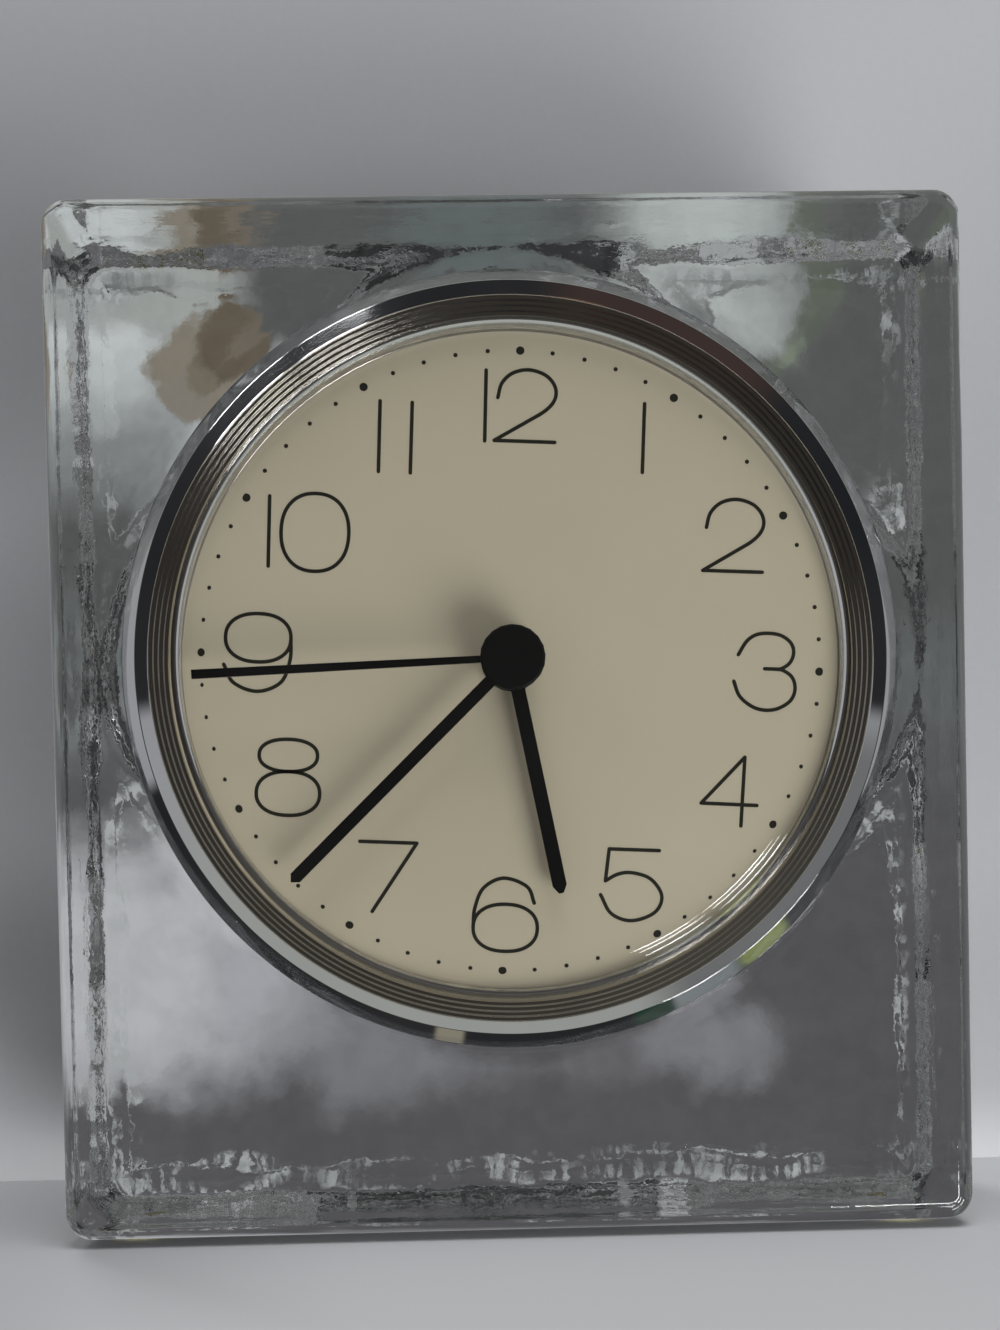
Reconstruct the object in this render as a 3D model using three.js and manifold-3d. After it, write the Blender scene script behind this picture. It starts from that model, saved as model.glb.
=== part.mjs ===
// Glass desk clock: a pressed block of clear glass with a round quartz insert pushed into its bore.
// Millimetres. X points right, the dial faces -Y and Z points up.
// The origin is at the bottom centre of the whole clock, between the feet.
// Inside the insert, a depth is measured from the front face of the glass, towards the back.

import * as THREE from 'three';
import { mergeVertices } from 'three/addons/utils/BufferGeometryUtils.js';
import Module from 'manifold-3d';

const wasm = await Module();
wasm.setup();

// Glass block
const blockWidth = 107;
const blockHeight = 121;
const blockDepth = 38;
const cornerRadius = 3.2;
const edgeRadius = 2.4;
const boreDrop = 54.3;
const frontLipRadius = 5.6;
const rearLipRadius = 3;

// Feet
const footDiameter = 8;
const footThickness = 0.8;
const footInset = 7.5;
const rearFootInset = 9;

// Insert as a whole: it is held by friction and sits a little clockwise of square
const insertTurn = THREE.MathUtils.degToRad(2.8);

// Bezel: it covers the edge of the bore, and its facets' widths run inwards from its rim
const bezelOverlap = 3;
const bezelRim = 0.6;
const outerFacetWidth = 1.8;
const creaseRise = 1.9;
const innerFacetWidth = 1.7;
const innerFacetRise = 0.6;
const bezelSteps = 3;
const bezelLipHold = 0.4;
const bezelLipThickness = 0.75;
const skirtWall = 0.9;
const skirtDepth = 5.2;

// Crystal
const crystalRise = 5.7;
const crystalThickness = 1.2;
const crystalTaper = 0.25;
const shoulderRadius = 3;
const crystalCrown = 0.3;
const crystalFootHeight = 1.3;

// Dial
const dialDepth = 2;
const dialThickness = 0.6;
const dialHoleRadius = 3;

// Case: it is as wide and as deep as the movement needs
const cupWall = 1.7;
const ledgeWidth = 1.3;
const ledgeThickness = 0.8;
const coverThickness = 1.6;
const flangeRise = 0.8;
const flangeWidth = 0.8;
const bossRadius = 2.4;
const bossInset = 3.8;
const bossWeb = 2;

// Rubber band that grips the bore
const bandWidth = 10;
const bandSpace = 2;
const bandBase = 0.8;
const bandRibs = 3;

// Movement: its width follows from the battery's length
const movementCorner = 4;
const frameFrontWall = 1.4;
const frameSideWall = 1;
const plateThickness = 1;
const backPlateThickness = 1.2;
const wheelThickness = 0.8;
const layerGap = 0.5;
const coilSpace = 5;
const pillarInset = 6;
const pillarRadius = 2.2;
const pillarNeckRadius = 1.5;

// Battery, a round cell of the AA size
const batteryRadius = 7.1;
const batteryLength = 49.2;
const nubLength = 1;
const nubRadius = 2.7;
const batteryShift = -0.4;
const batterySteps = 20;
const contactThickness = 0.4;
const contactRoom = 1.9;
const contactReach = 5;
const contactBevelGap = 0.8;

// Battery door
const doorRibInset = 2;
const doorNotchWidth = 4.8;
const doorNotchHeight = 2;

// Gear train: teeth and modules
const rotorTeeth = 6;
const intermediateTeeth = 36;
const intermediatePinionTeeth = 6;
const secondsTeeth = 30;
const secondsPinionTeeth = 6;
const thirdTeeth = 45;
const thirdPinionTeeth = 6;
const centreTeeth = 48;
const cannonTeeth = 10;
const minuteTeeth = 30;
const minutePinionTeeth = 8;
const hourTeeth = 32;
const settingTeeth = 10;
const rotorModule = 0.34;
const intermediateModule = 0.4;
const centreModule = 0.33;
const motionModule = 0.384;
const toothHeight = 0.7;
const toothRoot = 1.5;
const toothTipWidth = 0.44;

// Directions of the wheel centres, counter-clockwise from the right as the dial is read
const minuteWheelDirection = THREE.MathUtils.degToRad(150);
const thirdWheelDirection = THREE.MathUtils.degToRad(30);
const intermediateDirection = THREE.MathUtils.degToRad(80);
const rotorDirection = THREE.MathUtils.degToRad(20);

// Arbors and tubes on the centre axis
const secondsArborRadius = 0.45;
const cannonTubeRadius = 1.2;
const hourTubeRadius = 2.1;
const tubeWall = 0.6;
const smallArborRadius = 0.4;
const thirdArborRadius = 0.5;
const minutePostRadius = 0.55;
const stemRadius = 1;

// Motor
const magnetRadius = 3;
const magnetLength = 2.5;
const statorThickness = 1;
const statorHoleRadius = 3.6;
const statorLeg = 4;
const statorLeftEnd = 2.8;
const statorRightEnd = 5;
const statorWaist = 1.4;
const statorGap = 1.6;
const poleWall = 2.2;
const poleSideWall = 1;
const windowSlope = 1;
const coilGap = 3.2;
const coreWidth = 3.2;
const bobbinRadius = 3.2;
const sleeveRadius = 2.3;
const windingRadius = 2.9;
const bobbinLeft = -8.2;
const bobbinRight = 14.6;
const flangeThickness = 0.8;
const coilSteps = 16;

// Circuit board, kept clear of the frame's wall, the pillars and the setting stem
const boardThickness = 0.8;
const boardSideGap = 0.7;
const boardBottomGap = 0.8;
const boardTopGap = 4.5;
const boardStemGap = 2;

// Chip and quartz can, placed up the board by a share of its height
const chipPlace = 0.35;
const chipRadius = 2.8;
const chipTopRadius = 2;
const chipHeight = 1.1;
const chipEdgeHeight = 0.9;
const crystalCanPlace = 0.75;
const crystalCanRadius = 1.5;
const crystalCanLength = 8;

// Hands, how far each stops short of the crystal's wall, and the time they show
const hourHandMargin = 10.6;
const hourHandWidth = 1.65;
const hourTipLength = 0.9;
const minuteHandMargin = 2;
const minuteHandWidth = 1.45;
const secondHandMargin = 1.6;
const secondHandRootWidth = 0.8;
const secondHandTipWidth = 1.05;
const handThickness = 0.5;
const hubRadius = 3.6;
const hubCapRadius = 3.75;
const hubCapThickness = 0.7;
const hourHandLift = 1.6;
const minuteHandLift = 3;
const secondHandLift = 4.4;
const hourHandAngle = THREE.MathUtils.degToRad(166.3);
const minuteHandAngle = THREE.MathUtils.degToRad(223.1);
const secondHandAngle = THREE.MathUtils.degToRad(265.2);

// Setting knob
const knobRadius = 5.5;
const knobLength = 6;
const knobRibs = 16;
const knobRibDepth = 0.4;
const knobDishRadius = 2.75;
const knobDishDepth = 1;

// Screws
const screwHeadRadius = 1.7;
const screwHeadHeight = 0.7;
const screwShankRadius = 0.65;
const screwLength = 5;
const screwSlotWidth = 0.5;

// Clearances
const runningGap = 0.15;
const pressGap = 0.05;
const seatGap = 0.3;
const crystalGap = 0.2;
const movementGap = 0.36;
const coverGap = 0.2;

// How far a cutter runs past the face that it opens
const cutterOverrun = 1;

// How finely round pieces are cut
const roundSteps = 40;
const caseSteps = 32;
const smallSteps = 10;
const pinSteps = 8;

// Heights along the clock's axis that follow from the sizes above
const overallDepth = blockDepth + crystalRise;
const glassFront = crystalRise - overallDepth / 2;
const blockBottom = footThickness;
const boreCentre = blockBottom + blockHeight - boreDrop;
const dialBack = dialDepth + dialThickness;
const frameInside = dialBack + frameFrontWall;
const layerPitch = wheelThickness + layerGap;
const firstLayer = frameInside + layerGap;
const hourWheelAt = firstLayer;
const minuteWheelAt = hourWheelAt + layerPitch;
const centreWheelAt = minuteWheelAt + layerPitch;
const thirdWheelAt = centreWheelAt + layerPitch;
const middlePlateAt = thirdWheelAt + layerPitch;
const middlePlateBack = middlePlateAt + plateThickness;
const secondsWheelAt = middlePlateBack + layerGap;
const intermediateWheelAt = secondsWheelAt + layerPitch;
const magnetAt = intermediateWheelAt + layerPitch;
const backPlateAt = intermediateWheelAt + wheelThickness + coilSpace;
const backPlateBack = backPlateAt + backPlateThickness;
const coverAt = backPlateBack + screwHeadHeight + coverGap;
const cupDepth = coverAt + coverThickness;

// Widths that follow from the battery outwards: movement, case, bore, bezel and crystal
const frameHalfInside = (batteryLength + nubLength) / 2 + contactRoom;
const movementSize = 2 * (frameHalfInside + frameSideWall);
const frameCorner = movementCorner - frameSideWall;
const movementReach = (movementSize / 2 - movementCorner) * Math.SQRT2 + movementCorner;
const cupInside = movementReach + movementGap;
const cupRadius = cupInside + cupWall;
const coverRadius = cupInside - seatGap;
const boreRadius = cupRadius + bandSpace;
const bezelRadius = boreRadius + bezelOverlap;
const creaseRadius = bezelRadius - outerFacetWidth;
const innerFacetRadius = creaseRadius - innerFacetWidth;
const bezelLipRadius = cupRadius - bezelLipHold;
const crystalRadius = bezelLipRadius - crystalGap;
const crystalInside = crystalRadius - crystalThickness;
const hourHandLength = crystalInside - hourHandMargin;
const minuteHandLength = crystalInside - minuteHandMargin;
const secondHandLength = crystalInside - secondHandMargin;

// Battery bay
const batteryDrop = frameHalfInside - seatGap - batteryRadius;
const bayTop = batteryRadius + seatGap + contactThickness - batteryDrop;
const dividerTop = bayTop + frameSideWall;
const batteryAxisDepth = frameInside + seatGap + batteryRadius;

// Centre distances of the meshed pairs
const intermediateDistance = (intermediateModule * (intermediatePinionTeeth + secondsTeeth)) / 2;
const rotorDistance = (rotorModule * (rotorTeeth + intermediateTeeth)) / 2;
const thirdDistance = (centreModule * (thirdPinionTeeth + centreTeeth)) / 2;
const thirdModule = (2 * thirdDistance) / (secondsPinionTeeth + thirdTeeth);
const minuteDistance = (motionModule * (cannonTeeth + minuteTeeth)) / 2;
const hourModule = (2 * minuteDistance) / (minutePinionTeeth + hourTeeth);
const settingDistance = (motionModule * (minuteTeeth + settingTeeth)) / 2;

function towards(origin, distance, direction) {
  return [origin[0] + distance * Math.cos(direction), origin[1] + distance * Math.sin(direction)];
}

const clockAxis = [0, 0];
const minuteCentre = towards(clockAxis, minuteDistance, minuteWheelDirection);
const settingCentre = towards(minuteCentre, settingDistance, minuteWheelDirection);
const thirdCentre = towards(clockAxis, thirdDistance, thirdWheelDirection);
const intermediateCentre = towards(clockAxis, intermediateDistance, intermediateDirection);
const rotorCentre = towards(intermediateCentre, rotorDistance, rotorDirection);
const pillarPlace = movementSize / 2 - pillarInset;
const pillarLow = dividerTop + pillarRadius + seatGap;
const pillarCentres = [
  [-pillarPlace, pillarPlace],
  [pillarPlace, pillarPlace],
  [-pillarPlace, pillarLow],
  [pillarPlace, pillarLow],
];
const boardLeft = boardSideGap - frameHalfInside;
const boardRight = settingCentre[0] - stemRadius - boardStemGap;
const boardBottom = pillarLow + pillarNeckRadius + boardBottomGap;
const boardTop = pillarPlace - pillarNeckRadius - boardTopGap;
const coilHeight = frameHalfInside - bobbinRadius - coilGap;
const statorRight = pillarPlace - pillarNeckRadius - statorGap;
const bossPlace = cupInside - bossInset;
const bossCentres = [
  [0, bossPlace],
  [bossPlace, 0],
  [0, -bossPlace],
  [-bossPlace, 0],
];

// A closed solid turned round the clock's axis from a profile of [radius, depth] corners
function revolve(profile, steps) {
  let area = 0;
  profile.forEach(([radius, depth], i) => {
    const [nextRadius, nextDepth] = profile[(i + 1) % profile.length];
    area += radius * nextDepth - nextRadius * depth;
  });
  const ordered = area > 0 ? profile : [...profile].reverse();
  const points = ordered.map(([radius, depth]) => new THREE.Vector2(radius, depth));
  if (points[0].x > 0) points.push(points[0].clone());
  return new THREE.LatheGeometry(points, steps);
}

function rod(radius, front, back, steps = smallSteps) {
  return revolve([[0, front], [radius, front], [radius, back], [0, back]], steps);
}

function tube(outer, inner, front, back, steps = 2 * smallSteps) {
  return revolve([[inner, front], [outer, front], [outer, back], [inner, back]], steps);
}

// A flat shape given thickness, its front face at the given depth
function plate(shape, front, thickness, curveSegments = 6) {
  const geometry = new THREE.ExtrudeGeometry(shape, {
    depth: thickness,
    bevelEnabled: false,
    curveSegments,
  });
  geometry.rotateX(Math.PI / 2);
  geometry.translate(0, front + thickness, 0);
  return geometry;
}

function slab(left, right, bottom, top, front, back) {
  const geometry = new THREE.BoxGeometry(right - left, back - front, top - bottom);
  geometry.translate((left + right) / 2, (front + back) / 2, (bottom + top) / 2);
  return geometry;
}

function at([x, z], geometry) {
  return geometry.clone().translate(x, 0, z);
}

function arcPoints(centreR, centreD, radius, from, to, count) {
  return Array.from({ length: count + 1 }, (_, i) => {
    const angle = THREE.MathUtils.degToRad(from + ((to - from) * i) / count);
    return [centreR + radius * Math.cos(angle), centreD + radius * Math.sin(angle)];
  });
}

function roundedRectangle(left, right, bottom, top, radius) {
  const shape = new THREE.Shape();
  shape.moveTo(left + radius, bottom);
  shape.lineTo(right - radius, bottom);
  shape.absarc(right - radius, bottom + radius, radius, -Math.PI / 2, 0);
  shape.lineTo(right, top - radius);
  shape.absarc(right - radius, top - radius, radius, 0, Math.PI / 2);
  shape.lineTo(left + radius, top);
  shape.absarc(left + radius, top - radius, radius, Math.PI / 2, Math.PI);
  shape.lineTo(left, bottom + radius);
  shape.absarc(left + radius, bottom + radius, radius, Math.PI, 1.5 * Math.PI);
  return shape;
}

function polygon(corners) {
  return new THREE.Shape(corners.map(([x, z]) => new THREE.Vector2(x, z)));
}

// Solids for cutting and joining
function toSolid(geometry) {
  const bare = new THREE.BufferGeometry();
  bare.setAttribute('position', geometry.getAttribute('position').clone());
  bare.setIndex(geometry.getIndex());
  const merged = mergeVertices(bare, 1e-4);
  const corners = merged.getIndex().array;
  const kept = [];
  for (let i = 0; i < corners.length; i += 3) {
    const [a, b, c] = [corners[i], corners[i + 1], corners[i + 2]];
    if (a !== b && b !== c && c !== a) kept.push(a, b, c);
  }
  const vertProperties = merged.getAttribute('position').array;
  const triVerts = new Uint32Array(kept);
  return new wasm.Manifold(new wasm.Mesh({ numProp: 3, vertProperties, triVerts }));
}

function toGeometry(solid) {
  const { vertProperties, triVerts } = solid.getMesh();
  const geometry = new THREE.BufferGeometry();
  geometry.setAttribute('position', new THREE.BufferAttribute(vertProperties, 3));
  geometry.setIndex(new THREE.BufferAttribute(triVerts, 1));
  geometry.computeVertexNormals();
  return geometry;
}

function join(...pieces) {
  return toGeometry(pieces.map(toSolid).reduce((whole, piece) => whole.add(piece)));
}

function cut(blank, ...cutters) {
  const solids = cutters.map(toSolid);
  return toGeometry(solids.reduce((rest, cutter) => rest.subtract(cutter), toSolid(blank)));
}

// Finishes
function finish(color, roughness, metalness = 0) {
  return new THREE.MeshStandardMaterial({ color, roughness, metalness });
}

const clearGlass = finish(0xb9bfc2, 0.05);
const clearVinyl = finish(0xd8d2a0, 0.4);
const brightChrome = finish(0xd4d6d8, 0.08, 1);
const clearAcrylic = finish(0xe6e8e6, 0.05);
const creamDial = finish(0xd6cfb2, 0.7);
const blackPlastic = finish(0x1c1c1e, 0.55);
const greyPlastic = finish(0x55585c, 0.5);
const blackRubber = finish(0x202020, 0.9);
const whiteNylon = finish(0xe8e6dc, 0.45);
const steel = finish(0xa8abae, 0.35, 1);
const brass = finish(0xc9a55a, 0.3, 1);
const copper = finish(0xb4653a, 0.4, 1);
const magnetGrey = finish(0x3c3e42, 0.5, 1);
const boardGreen = finish(0x3d6b45, 0.6);
const epoxyBlack = finish(0x141414, 0.4);
const batterySkin = finish(0x2c4a7a, 0.4);
const handBlack = finish(0x121213, 0.45);

// Glass block: a pressed slab with rounded edges and a bore that flares at both faces
function glassBlock() {
  const half = blockWidth / 2 - edgeRadius;
  const outline = roundedRectangle(
    -half,
    half,
    blockBottom + edgeRadius,
    blockBottom + blockHeight - edgeRadius,
    cornerRadius - edgeRadius,
  );
  const slabGeometry = new THREE.ExtrudeGeometry(outline, {
    depth: blockDepth - 2 * edgeRadius,
    bevelThickness: edgeRadius,
    bevelSize: edgeRadius,
    bevelSegments: 3,
    curveSegments: 4,
  });
  slabGeometry.rotateX(Math.PI / 2);
  slabGeometry.translate(0, glassFront + blockDepth - edgeRadius, 0);
  const bore = revolve(
    [
      [0, -cutterOverrun],
      [boreRadius + frontLipRadius, -cutterOverrun],
      ...arcPoints(boreRadius + frontLipRadius, frontLipRadius, frontLipRadius, 270, 180, 4),
      ...arcPoints(boreRadius + rearLipRadius, blockDepth - rearLipRadius, rearLipRadius, 180, 90, 2),
      [boreRadius + rearLipRadius, blockDepth + cutterOverrun],
      [0, blockDepth + cutterOverrun],
    ],
    roundSteps,
  );
  bore.translate(0, glassFront, boreCentre);
  return cut(slabGeometry, bore);
}

function foot() {
  const radius = footDiameter / 2;
  const geometry = new THREE.CylinderGeometry(radius, radius, footThickness, 2 * pinSteps);
  geometry.rotateX(Math.PI / 2);
  return geometry;
}

// Bezel: two bright facets meeting at a crease, fine steps down to the crystal, and a skirt round the case
function bezel() {
  const lipGap = boreRadius + frontLipRadius - bezelRadius;
  const lipDepth = frontLipRadius - Math.sqrt(frontLipRadius ** 2 - lipGap ** 2);
  const rimBack = lipDepth - seatGap;
  const skirtInside = cupRadius + seatGap;
  const stepWidth = (innerFacetRadius - bezelLipRadius) / (bezelSteps + 1);
  const lipFront = dialDepth - crystalFootHeight - bezelLipThickness;
  const stepDrop = (innerFacetRise + lipFront) / bezelSteps;
  const steps = Array.from({ length: bezelSteps + 1 }, (_, i) => {
    const depth = -innerFacetRise + i * stepDrop;
    return [
      [innerFacetRadius - i * stepWidth, depth],
      [innerFacetRadius - (i + 1) * stepWidth, depth],
    ];
  }).flat();
  return revolve(
    [
      [skirtInside, skirtDepth],
      [skirtInside + skirtWall, skirtDepth],
      [skirtInside + skirtWall, rimBack + bezelRim],
      [bezelRadius, rimBack],
      [bezelRadius, rimBack - bezelRim],
      [creaseRadius, -creaseRise],
      ...steps,
      [bezelLipRadius, lipFront + bezelLipThickness],
      [skirtInside, lipFront + bezelLipThickness],
    ],
    roundSteps,
  );
}

// Crystal: a clear moulded dome that stands proud of the bezel, with a foot held down on the dial
function crystal() {
  const shoulder = crystalRadius - crystalTaper;
  const footTop = dialDepth - crystalFootHeight;
  const shoulderDepth = shoulderRadius + crystalCrown - crystalRise;
  const arcCentre = shoulder - shoulderRadius;
  const innerArc = shoulderRadius - crystalThickness;
  return revolve(
    [
      [0, -crystalRise],
      ...arcPoints(arcCentre, shoulderDepth, shoulderRadius, 270, 360, 3),
      [crystalRadius, footTop],
      [cupRadius - pressGap, footTop],
      [cupRadius - pressGap, dialDepth],
      [crystalInside, dialDepth],
      ...arcPoints(arcCentre, shoulderDepth, innerArc, 360, 270, 2),
      [0, crystalThickness - crystalRise],
    ],
    roundSteps,
  );
}

function dial() {
  return tube(cupRadius - pressGap, dialHoleRadius, dialDepth, dialBack, roundSteps);
}

// Case cup: a round shell open at both ends, with a ledge and four bosses for the rear cover
function caseCup() {
  const bandFront = skirtDepth + 2 * seatGap;
  const bandBack = bandFront + flangeWidth + bandWidth + 2 * seatGap;
  const shell = revolve(
    [
      [cupInside, dialBack],
      [cupRadius, dialBack],
      [cupRadius, bandFront],
      [cupRadius + flangeRise, bandFront],
      [cupRadius + flangeRise, bandFront + flangeWidth],
      [cupRadius, bandFront + flangeWidth],
      [cupRadius, bandBack],
      [cupRadius + flangeRise, bandBack],
      [cupRadius + flangeRise, bandBack + flangeWidth],
      [cupRadius, bandBack + flangeWidth],
      [cupRadius, cupDepth],
      [cupInside, cupDepth],
      [cupInside, coverAt],
      [cupInside - ledgeWidth, coverAt],
      [cupInside - ledgeWidth, coverAt - ledgeThickness],
      [cupInside, coverAt - ledgeThickness],
    ],
    caseSteps,
  );
  const boss = join(
    at([bossPlace, 0], rod(bossRadius, frameInside, coverAt)),
    slab(bossPlace, cupInside + cupWall / 2, -bossWeb / 2, bossWeb / 2, frameInside, coverAt),
  );
  const bosses = bossCentres.map((_, i) => boss.clone().rotateY((i * Math.PI) / 2));
  const holes = bossCentres.map((centre) => {
    const bottom = coverAt - screwLength;
    return at(centre, rod(screwShankRadius + runningGap, bottom, coverAt + cutterOverrun, pinSteps));
  });
  return cut(join(shell, ...bosses), ...holes);
}

function gripBand() {
  const front = skirtDepth + 3 * seatGap + flangeWidth;
  const inside = cupRadius + pressGap;
  const base = inside + bandBase;
  const tip = boreRadius - seatGap;
  const pitch = bandWidth / bandRibs;
  const ribs = Array.from({ length: bandRibs }, (_, i) => [
    [base, front + i * pitch],
    [tip, front + (i + 0.5) * pitch],
  ]).flat();
  const back = front + bandWidth;
  return revolve([[inside, front], ...ribs, [base, back], [inside, back]], caseSteps);
}

// Rear cover and the battery door that snaps into it
const doorHalfWidth = batteryLength / 2 + nubLength + seatGap;
const doorBottom = -batteryDrop - batteryRadius;
const doorTop = batteryRadius - batteryDrop;

function rearCover() {
  const disc = rod(coverRadius, coverAt, cupDepth, caseSteps);
  const front = coverAt - cutterOverrun;
  const back = cupDepth + cutterOverrun;
  const opening = roundedRectangle(-doorHalfWidth, doorHalfWidth, doorBottom, doorTop, movementCorner);
  const screwHoles = bossCentres.map((centre) => {
    return at(centre, rod(screwShankRadius + runningGap, front, back, pinSteps));
  });
  const stemHole = at(settingCentre, rod(stemRadius + seatGap, front, back));
  return cut(disc, plate(opening, front, back - front, 3), ...screwHoles, stemHole);
}

function batteryDoor() {
  const outline = roundedRectangle(
    seatGap - doorHalfWidth,
    doorHalfWidth - seatGap,
    doorBottom + seatGap,
    doorTop - seatGap,
    movementCorner - seatGap,
  );
  const panel = plate(outline, coverAt, coverThickness, 3);
  const ribFront = batteryAxisDepth + batteryRadius + seatGap;
  const ribs = [-1, 1].map((side) => {
    const middle = (side * batteryLength) / 4;
    const half = frameSideWall / 2;
    return slab(
      middle - half,
      middle + half,
      doorBottom + doorRibInset,
      doorTop - doorRibInset,
      ribFront,
      coverAt + half,
    );
  });
  const notch = slab(
    -doorNotchWidth / 2,
    doorNotchWidth / 2,
    doorTop - doorNotchHeight,
    doorTop,
    cupDepth - coverThickness / 2,
    cupDepth + cutterOverrun,
  );
  return cut(join(panel, ...ribs), notch);
}

// Movement frame: the front half of the movement's case, with the battery bay below the train
function movementFrame() {
  const half = movementSize / 2;
  const inside = frameHalfInside;
  const outline = roundedRectangle(-half, half, -half, half, movementCorner);
  const block = plate(outline, dialBack, backPlateAt - dialBack, 4);
  const depth = backPlateAt - frameInside + cutterOverrun;
  const trainRoom = roundedRectangle(-inside, inside, dividerTop, inside, frameCorner);
  const bay = roundedRectangle(-inside, inside, -inside, bayTop, frameCorner);
  const open = cut(block, plate(trainRoom, frameInside, depth, 3), plate(bay, frameInside, depth, 3));
  const rootDepth = frameInside - frameFrontWall / 2;
  const pillars = pillarCentres.map((centre) => {
    const base = rod(pillarRadius, rootDepth, middlePlateAt);
    const neck = rod(pillarNeckRadius, frameInside, backPlateAt);
    return at(centre, join(base, neck));
  });
  const post = at(minuteCentre, rod(minutePostRadius, rootDepth, minuteWheelAt + wheelThickness));
  const screwBottom = backPlateAt - screwLength;
  const screwHoles = pillarCentres.map((centre) => {
    const hole = rod(screwShankRadius + runningGap, screwBottom, backPlateAt + cutterOverrun, pinSteps);
    return at(centre, hole);
  });
  const pivotFront = dialBack + seatGap;
  const pivotBack = frameInside + cutterOverrun;
  return cut(
    join(open, ...pillars, post),
    ...screwHoles,
    rod(hourTubeRadius + seatGap, dialBack - cutterOverrun, pivotBack, 2 * smallSteps),
    at(thirdCentre, rod(thirdArborRadius + runningGap, pivotFront, pivotBack)),
    at(settingCentre, rod(stemRadius + runningGap, pivotFront, pivotBack)),
  );
}

function middlePlate() {
  const half = frameHalfInside - seatGap;
  const outline = roundedRectangle(-half, half, dividerTop + seatGap, half, frameCorner);
  const bore = (radius) => rod(radius, middlePlateAt - cutterOverrun, middlePlateBack + cutterOverrun);
  return cut(
    plate(outline, middlePlateAt, plateThickness, 3),
    ...pillarCentres.map((centre) => at(centre, bore(pillarNeckRadius + runningGap))),
    bore(secondsArborRadius + 2 * seatGap),
    at(thirdCentre, bore(thirdArborRadius + runningGap)),
    at(intermediateCentre, bore(smallArborRadius + runningGap)),
    at(rotorCentre, bore(smallArborRadius + runningGap)),
    at(settingCentre, bore(stemRadius + seatGap)),
  );
}

function backPlate() {
  const half = movementSize / 2;
  const bore = (radius) => rod(radius, backPlateAt - cutterOverrun, backPlateBack + cutterOverrun);
  const outline = roundedRectangle(-half, half, bayTop, half, movementCorner);
  return cut(
    plate(outline, backPlateAt, backPlateThickness, 3),
    ...pillarCentres.map((centre) => at(centre, bore(screwShankRadius + runningGap))),
    bore(secondsArborRadius + runningGap),
    at(intermediateCentre, bore(smallArborRadius + runningGap)),
    at(rotorCentre, bore(smallArborRadius + runningGap)),
    at(settingCentre, bore(stemRadius + seatGap)),
  );
}

// Slotted cheese-head screw, its head's seat at the given depth
function screw(seat) {
  const head = rod(screwHeadRadius, seat, seat + screwHeadHeight);
  const shank = rod(screwShankRadius, seat - screwLength + seatGap, seat + screwHeadHeight / 2, pinSteps);
  const reach = screwHeadRadius + cutterOverrun;
  const half = screwSlotWidth / 2;
  const top = seat + screwHeadHeight + cutterOverrun;
  const slot = slab(-reach, reach, -half, half, seat + screwHeadHeight / 2, top);
  return cut(join(head, shank), slot);
}

// A gear outline: flat-topped teeth with V-shaped gaps, one tooth centred on the phase angle
function gearShape(teeth, module, phase) {
  const pitchRadius = (teeth * module) / 2;
  const tip = pitchRadius + toothHeight * module;
  const root = pitchRadius - toothRoot * module;
  const halfTip = (toothTipWidth * module) / (2 * tip);
  const corners = Array.from({ length: teeth }, (_, i) => {
    const middle = phase + (2 * Math.PI * i) / teeth;
    return [
      [tip, middle - halfTip],
      [tip, middle + halfTip],
      [root, middle + Math.PI / teeth],
    ];
  }).flat();
  return polygon(corners.map(([radius, angle]) => [radius * Math.cos(angle), radius * Math.sin(angle)]));
}

// The phase that a gear needs to mesh with a neighbour of known phase, which lies towards it
function meshedPhase(teeth, neighbourTeeth, neighbourPhase, direction) {
  return direction + Math.PI + (neighbourTeeth * (direction - neighbourPhase) - Math.PI) / teeth;
}

function gear(teeth, module, phase, front, back) {
  return plate(gearShape(teeth, module, phase), front, back - front);
}

const pinionSide = layerGap / 2;
const intermediatePinionPhase = meshedPhase(intermediatePinionTeeth, secondsTeeth, 0, intermediateDirection);
const rotorPhase = meshedPhase(rotorTeeth, intermediateTeeth, 0, rotorDirection);
const thirdPhase = meshedPhase(thirdTeeth, secondsPinionTeeth, 0, thirdWheelDirection);
const centrePhase = meshedPhase(centreTeeth, thirdPinionTeeth, 0, thirdWheelDirection + Math.PI);
const minutePhase = meshedPhase(minuteTeeth, cannonTeeth, 0, minuteWheelDirection);
const hourPhase = meshedPhase(hourTeeth, minutePinionTeeth, 0, minuteWheelDirection + Math.PI);
const settingPhase = meshedPhase(settingTeeth, minuteTeeth, minutePhase, minuteWheelDirection);

const secondHandFront = dialDepth - secondHandLift - handThickness;
const minuteHandFront = dialDepth - minuteHandLift - handThickness;
const hourHandFront = dialDepth - hourHandLift - handThickness;

// Seconds wheel, its pinion and the arbor that carries the second hand
function secondsWheel() {
  const pinionBack = thirdWheelAt + wheelThickness + pinionSide / 2;
  return join(
    gear(secondsTeeth, intermediateModule, 0, secondsWheelAt, secondsWheelAt + wheelThickness),
    gear(secondsPinionTeeth, thirdModule, 0, thirdWheelAt - pinionSide, pinionBack),
    rod(secondsArborRadius, secondHandFront, backPlateBack),
  );
}

function intermediateWheel() {
  const wheelBack = intermediateWheelAt + wheelThickness;
  return join(
    gear(intermediateTeeth, rotorModule, 0, intermediateWheelAt, wheelBack),
    gear(
      intermediatePinionTeeth,
      intermediateModule,
      intermediatePinionPhase,
      secondsWheelAt - pinionSide,
      intermediateWheelAt + wheelThickness / 2,
    ),
    rod(smallArborRadius, middlePlateAt, backPlateBack),
  );
}

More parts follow.
